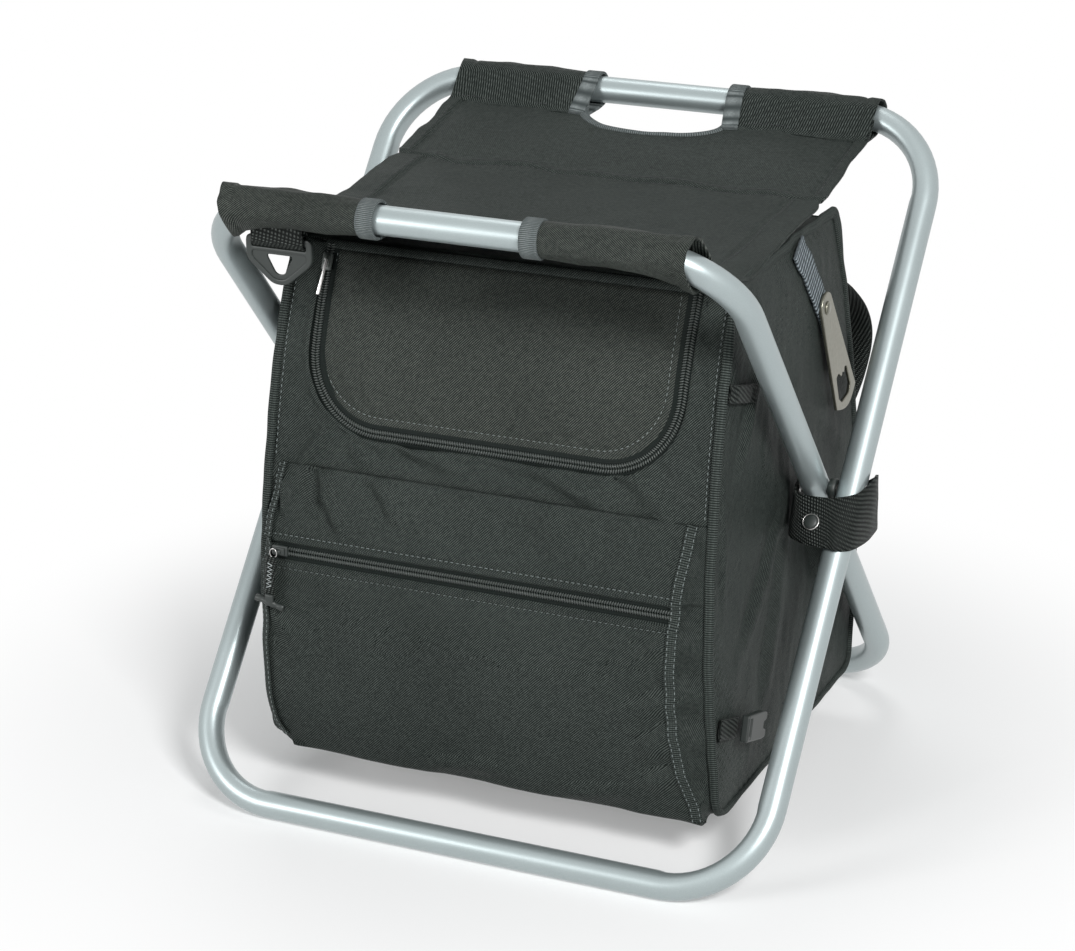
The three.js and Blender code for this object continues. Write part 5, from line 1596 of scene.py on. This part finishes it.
finish_piece("flap_slider_body", set_down(slider_body(), FLAP_SLIDER, (FLAP_TILT, "X")), zip_black,
             "flap_slider", ["flap_zip_slider"])
pull = plate([softened([(-0.9, 1.5), (0.9, 1.5), (1.3, -23), (-1.3, -23)], 0.8)], 1.0, 0.3)
set_down(pull, FLAP_SLIDER + Vector((2.5, -5.2, 2.0)), (math.pi / 2, "X"),
         (math.radians(5), "Y"), (FLAP_TILT, "X"))
finish_piece("flap_pull_tab", pull, steel, "flap_pull", ["flap_zip_pull"])

finish_piece("pocket_slider_body", set_down(slider_body(), POCKET_SLIDER, (-math.pi / 2, "Y")),
             dark_plastic, "pocket_slider", ["pocket_zip_slider"])
loop = [POCKET_SLIDER + Vector((-3.2 + 2.6 * math.cos(a), -4.2, -1.0 + 3.2 * math.sin(a)))
        for a in evenly(0, math.tau, 24)[:-1]]
wire = swept(stations(loop, facing(0, -1, 0), closed=True), rounded_section(0.7, 0.7, 0.3, 2),
             closed=True)
finish_piece("pocket_pull_wire", wire, steel, "pocket_pull")
line = [POCKET_SLIDER + Vector((-5.0 + PULL_SLANT * n * PULL_PITCH + 0.3 * math.sin(n / 3),
                                -4.5 - 0.4 * math.sin(n / 5), -3.5 - n * PULL_PITCH))
        for n in range(22)]
finish_piece("pocket_pull_strap", ribbon(line, facing(0, -1, 0), 7.6, 1.7, 4), black_webbing,
             "pocket_pull", ["pocket_pull_webbing"])
zigzag = [line[3 + n] + Vector((1.7 if n % 2 else -1.7, -1.1, 0)) for n in range(13)]
finish_piece("pocket_pull_zigzag", ribbon(zigzag, facing(0, -1, 0), 0.9, 0.7, 2), white_thread,
             "pocket_pull")

# %% Toggle
toggle_centre = line[-1] + Vector((0, -0.3, -2.4))
toggle = turned([(0, -11), (1.9, -11), (2.5, -10.4), (2.3, -7), (1.9, -4.2), (2.4, -3.6),
                 (2.4, 3.6), (1.9, 4.2), (2.3, 7), (2.5, 10.4), (1.9, 11), (0, 11)], 20)
set_down(toggle, toggle_centre, (math.radians(90 + 14), "Y"))
grip = block((6.4, 4.6, 8.4), toggle_centre + Vector((0, 0, 2.2)), 1.2)
finish_piece("pocket_pull_bar", merged(toggle, grip), dark_plastic, "pocket_pull",
             ["pocket_pull_toggle"])

# %% [markdown]
# ## Strap ring
# A moulded ring hangs in a webbing loop under the front left sleeve. It is a flat plate with
# a slot for the webbing and a rounded three-cornered eye below it.

# %% Strap ring
RING_BAR_CENTRE = Vector((-129.0, -164.82, 405.55))
ring_outline = softened([(-24, 3), (24, 3), (24, -13.2), (5, -29.3), (-5, -29.3), (-24, -13.2)],
                        4.5)
ring_inner = softened([(-19.6, -7.6), (19.6, -7.6), (19.6, -11.8), (3.6, -25.4), (-3.6, -25.4),
                       (-19.6, -11.8)], 3.0)
ring_slot = softened([(-19.5, -1.6), (-19.5, -4.8), (19.5, -4.8), (19.5, -1.6)], 0.9)
ring_eye = softened([(-10.0, -9.4), (-3.0, -22.5), (3.0, -22.5), (10.0, -9.4)], 3.0)
web_outline = softened([(-20.5, -6.6), (20.5, -6.6), (20.5, -12.2), (4, -26.6), (-4, -26.6),
                        (-20.5, -12.2)], 3.0)
ring = merged(plate([ring_outline, ring_slot, ring_inner], 4.0, 1.0),
              plate([web_outline, ring_eye], 2.0, 0.5))
finish_piece("strap_ring_plate", set_down(ring, RING_BAR_CENTRE, (math.pi / 2, "X")), dark_plastic,
             "strap_ring_body", ["strap_ring"], smooth=False)


def round_the_bar(point):
    """Out of the webbing: away from the bar below it, level above it."""
    above = max(point.z - RING_BAR_CENTRE.z, 0)
    return point - RING_BAR_CENTRE - Vector((0, 0, above))


TAB_HEIGHTS = (14, 9, 5, 2)
loop = [Vector((0, 3.2, h)) for h in TAB_HEIGHTS]
loop += [Vector((0, 3.2 * math.cos(a), 3.4 * math.sin(a) - 0.6)) for a in evenly(0, -math.pi, 12)]
loop += [Vector((0, -3.2 - 0.1 * h, h)) for h in reversed(TAB_HEIGHTS)]
tab = ribbon([RING_BAR_CENTRE + point for point in loop], round_the_bar, 38.0, 1.5, 10)
finish_piece("ring_tab_webbing", tab, black_webbing, "inner_frame",
             ["strap_ring_tab"])

# %% [markdown]
# ## Pivot straps
# Webbing from each side of the bag goes round both legs just under their crossing, and a
# press stud closes it. It lies flat on the leg in front, turns round the outer leg's outside
# and comes back behind. Its upper and lower edges are two smooth lines, and the band is ruled
# between them, so it can twist as the real one does.

# %% Pivot straps and press studs
STRAP_EDGES = [((165.8, 6, 226.5), (166.2, -6, 196)), ((168.5, -8, 226.5), (171, -25, 197)),
               ((173.0, -16.8, 225.4), (186, -36.5, 197.6)),
               ((191, -17.6, 225.0), (202, -38.5, 198.0)),
               ((203, -15.8, 226.2), (207.5, -38.8, 197.2)),
               ((214, -9.0, 228.8), (215.2, -31, 195.4)),
               ((219.2, 1.0, 232.8), (218.8, -13, 193.8)), ((219.8, 13, 234.0), (219.2, 4, 192.6)),
               ((216.0, 21, 230), (217.0, 24, 192)), ((206, 19.5, 224.5), (207.5, 41, 192)),
               ((190, 19.0, 222.5), (190, 42, 192.5)), ((176, 18.5, 222.5), (176, 41, 192.5)),
               ((166.2, 13, 224), (166.6, 33, 193.5))]
STRAP_MIDDLE_X = 190
STUD_PLACE, STUD_TILT = (187.5, -28.9, 210.9), math.radians(40)

for side_name, hand in SIDES:
    upper, lower = (smooth_line([Vector((hand * pair[k][0], *pair[k][1:])) for pair in STRAP_EDGES])
                    for k in (0, 1))

    def strap_place(u, v):
        n = round(v * (len(upper) - 1))
        point = lower[n].lerp(upper[n], u)
        middle = Vector((hand * STRAP_MIDDLE_X, point.y * 0.2, point.z))
        rise = 0.5 * ripple(point, 14, 3.3) + 0.5 * math.sin(math.pi * u)
        return point + (point - middle).normalized() * rise

    bm = laid_grid(12, len(upper) - 1, strap_place, (33.0, 190.0))
    bm.normal_update()
    front = min(bm.faces, key=lambda f: f.calc_center_median().y)
    if front.normal.y > 0:
        bmesh.ops.reverse_faces(bm, faces=bm.faces)
    finish_piece(f"leg_strap_{side_name}", thickened(bm, 1.7), black_webbing, "bag",
                 [f"pivot_strap_{side_name}"])
    x, y, z = STUD_PLACE
    stud = turned([(0, 2.4), (3.4, 2.3), (4.6, 1.7), (5.0, 0.9), (5.0, -0.4), (0, -0.4)])
    rim = turned([(4.9, 0), (5.0, 0.9), (5.4, 1.2), (5.8, 0.8), (5.9, -0.4), (4.9, -0.4), (4.9, 0)])
    for part in (rim, stud):
        set_down(part, (hand * x, y, z), (math.pi / 2 - STUD_TILT, "X"))
    finish_piece(f"stud_rim_{side_name}", rim, steel, "bag",
                 [f"press_stud_{side_name}"])
    finish_piece(f"stud_cap_{side_name}", stud, dark_plastic, "bag")

# %% [markdown]
# ## Rear carrying straps
# Two straps of webbing let the stool be carried on the back. Each lies on the rear cloth and
# stands off it in a loop near the top.

# %% Carrying straps
CARRY_ROUTE = [(0.955, 0), (0.9, 0), (0.845, 0.03), (0.79, 0.55), (0.73, 0.92), (0.67, 1),
               (0.6, 0.72), (0.53, 0.22), (0.46, 0.02), (0.38, 0), (0.1, 0)]
CARRY_X, CARRY_BULGE, CARRY_LIFT = 132.0, 49.0, 2.4

for side_name, hand in SIDES:
    route = []
    for share, bulge in CARRY_ROUTE:
        z = BAG_LOW + share * (BAG_HIGH - BAG_LOW)
        stand = depth_at(z) + CARRY_LIFT + CARRY_BULGE * bulge
        route.append(Vector((hand * (CARRY_X + 8 * bulge), stand, z)))
    route = [Vector((p.x, max(p.y, depth_at(p.z) + CARRY_LIFT), p.z))
             for p in smooth_line(route, 9)]
    finish_piece(f"carrying_strap_{side_name}", ribbon(route, facing(0, 1, 0.05), 38.0, 1.8, 8),
                 black_webbing, "bag", [f"carry_strap_{side_name}"])

# %% [markdown]
# ## Side webbing, buckle halves and opener
# A small tab sits high on each side, and below it half of a side-release buckle hangs on a
# short webbing. On the right a nickel bottle opener is riveted to grey ribbed webbing.

# %% Side tabs and buckle halves
BUCKLE_PLACE, BUCKLE_SLOPE = (-134, 101), math.radians(18)


def on_side(a, hand, lift):
    """A point on the bag's side, at a distance along the buckle's sloping line."""
    y = BUCKLE_PLACE[0] + a * math.cos(BUCKLE_SLOPE)
    z = BUCKLE_PLACE[1] - a * math.sin(BUCKLE_SLOPE)
    return side_point(y, z, hand, lift)


for side_name, hand in SIDES:
    line = [side_point(y, 324 - 0.3 * (y + 112), hand, 1.4 + 1.9 * eased((y + 115) / 9))
            for y in evenly(-115, -73, 17)]
    finish_piece(f"upper_tab_{side_name}", ribbon(line, facing(hand, 0, 0), 12.5, 1.6, 4),
                 black_webbing, "bag", [f"side_tab_{side_name}"])
    line = [on_side(a, hand, 2.0) for a in evenly(-4, 26, 11)]
    finish_piece(f"buckle_strap_{side_name}", ribbon(line, facing(hand, 0, 0), 15.0, 1.8, 5),
                 black_webbing, "bag", [f"buckle_webbing_{side_name}"])
    outline = softened([(0, -9), (0, 9), (30, 9.5), (37, 8.5), (37, 3.2), (31.5, 2.2),
                        (31.5, -2.2), (37, -3.2), (37, -8.5), (30, -9.5)], 1.6, 3)
    slot = softened([(3.5, -6.6), (3.5, 6.6), (6.5, 6.6), (6.5, -6.6)], 0.8, 2)
    shell = plate([outline, slot], 5.4, 1.1)
    onto_side = Matrix(((0, 0, hand), (1, 0, 0), (0, 1, 0)))
    bmesh.ops.transform(shell, matrix=onto_side, verts=shell.verts)
    set_down(shell, on_side(22.0, hand, 3.6), (-BUCKLE_SLOPE, "X"))
    bmesh.ops.recalc_face_normals(shell, faces=shell.faces)
    finish_piece(f"buckle_shell_{side_name}", shell, dark_plastic, "bag",
                 [f"buckle_half_{side_name}"], smooth=False)

# %% Bottle opener
OPENER_PIVOT = Vector((164.05, 60.0, 330.0))
OPENER_LEAN, OPENER_TILT = math.radians(25), math.radians(-3)

web_line = smooth_line([Vector((0, y, z)) for y, z in (
    (12, 385.5), (19, 377), (27, 369.5), (35, 359), (43, 350), (51, 340.5), (60, 330), (66, 322.5),
    (70, 316), (72, 310))], 4)
line = [side_point(p.y, p.z, 1, 1.7 + 0.7 * ripple(p, 12, 4.0)) for p in web_line]
finish_piece("opener_strap", ribbon(line, facing(1, 0, 0), 20.0, 2.2, 6), grey_webbing, "bag",
             ["opener_webbing"])
head = [(11 * math.cos(a), 11 * math.sin(a)) for a in evenly(0, math.pi, 16)]
low = [(-19.5 + 39.5 * t, -77 - 10 * t - 8 * math.sin(math.pi * t)) for t in evenly(0, 1, 14)]
mouth = softened([(-9.5, -56), (-12.5, -73), (-8.5, -79.5), (6, -83.5), (11.5, -80), (11.5, -63),
                  (7.5, -60.5), (5.0, -64), (2.6, -60.5), (-0.4, -63), (-4.0, -56.5)], 1.6, 3)
hole = [(2.9 * math.cos(a), 2.9 * math.sin(a)) for a in evenly(0, math.tau, 20)[:-1]]
opener = plate([head + low, mouth, hole], 2.4, 0.6)
set_down(opener, (0, 0, 0), (OPENER_LEAN, "Z"))
bmesh.ops.transform(opener, matrix=Matrix(((0, 0, 1), (1, 0, 0), (0, 1, 0))), verts=opener.verts)
set_down(opener, OPENER_PIVOT - Vector((2.2, 0, 0)), (OPENER_TILT, "Y"))
bmesh.ops.recalc_face_normals(opener, faces=opener.faces)
finish_piece("opener_plate", opener, nickel, "opener", ["bottle_opener"], smooth=False)
rivet = turned([(0, -3.4), (2.4, -3.4), (2.4, 1.3), (4.9, 1.3), (4.7, 2.0), (3.6, 2.7), (0, 2.9)])
finish_piece("opener_rivet_head", laid_across(rivet, 1, OPENER_PIVOT), nickel, "bag",
             ["opener_rivet"])

# %% [markdown]
# ## Foam and liner
# The drawn foam box and its foil liner show only when the flap is open. Their shapes are
# right as they are, so they stay and only get their finishes.

# %% Foam and liner finishes
for name, finish in (("foam_insulation", foam_white), ("inner_liner", liner_grey)):
    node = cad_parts[name]
    node.data.materials.clear()
    node.data.materials.append(finish)

# %% [markdown]
# ## Size
# The seat sheet's area is printed where the sheet is made. Last, the drawn box and the
# finished model's box are put side by side, and the finished box is printed.

# %% Boxes side by side
low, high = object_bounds()
sizes = {"cad": [list(cad_low), list(cad_high)], "visual": [list(low), list(high)]}
print("visual box", [[round(v, 4) for v in corner] for corner in sizes["visual"]])
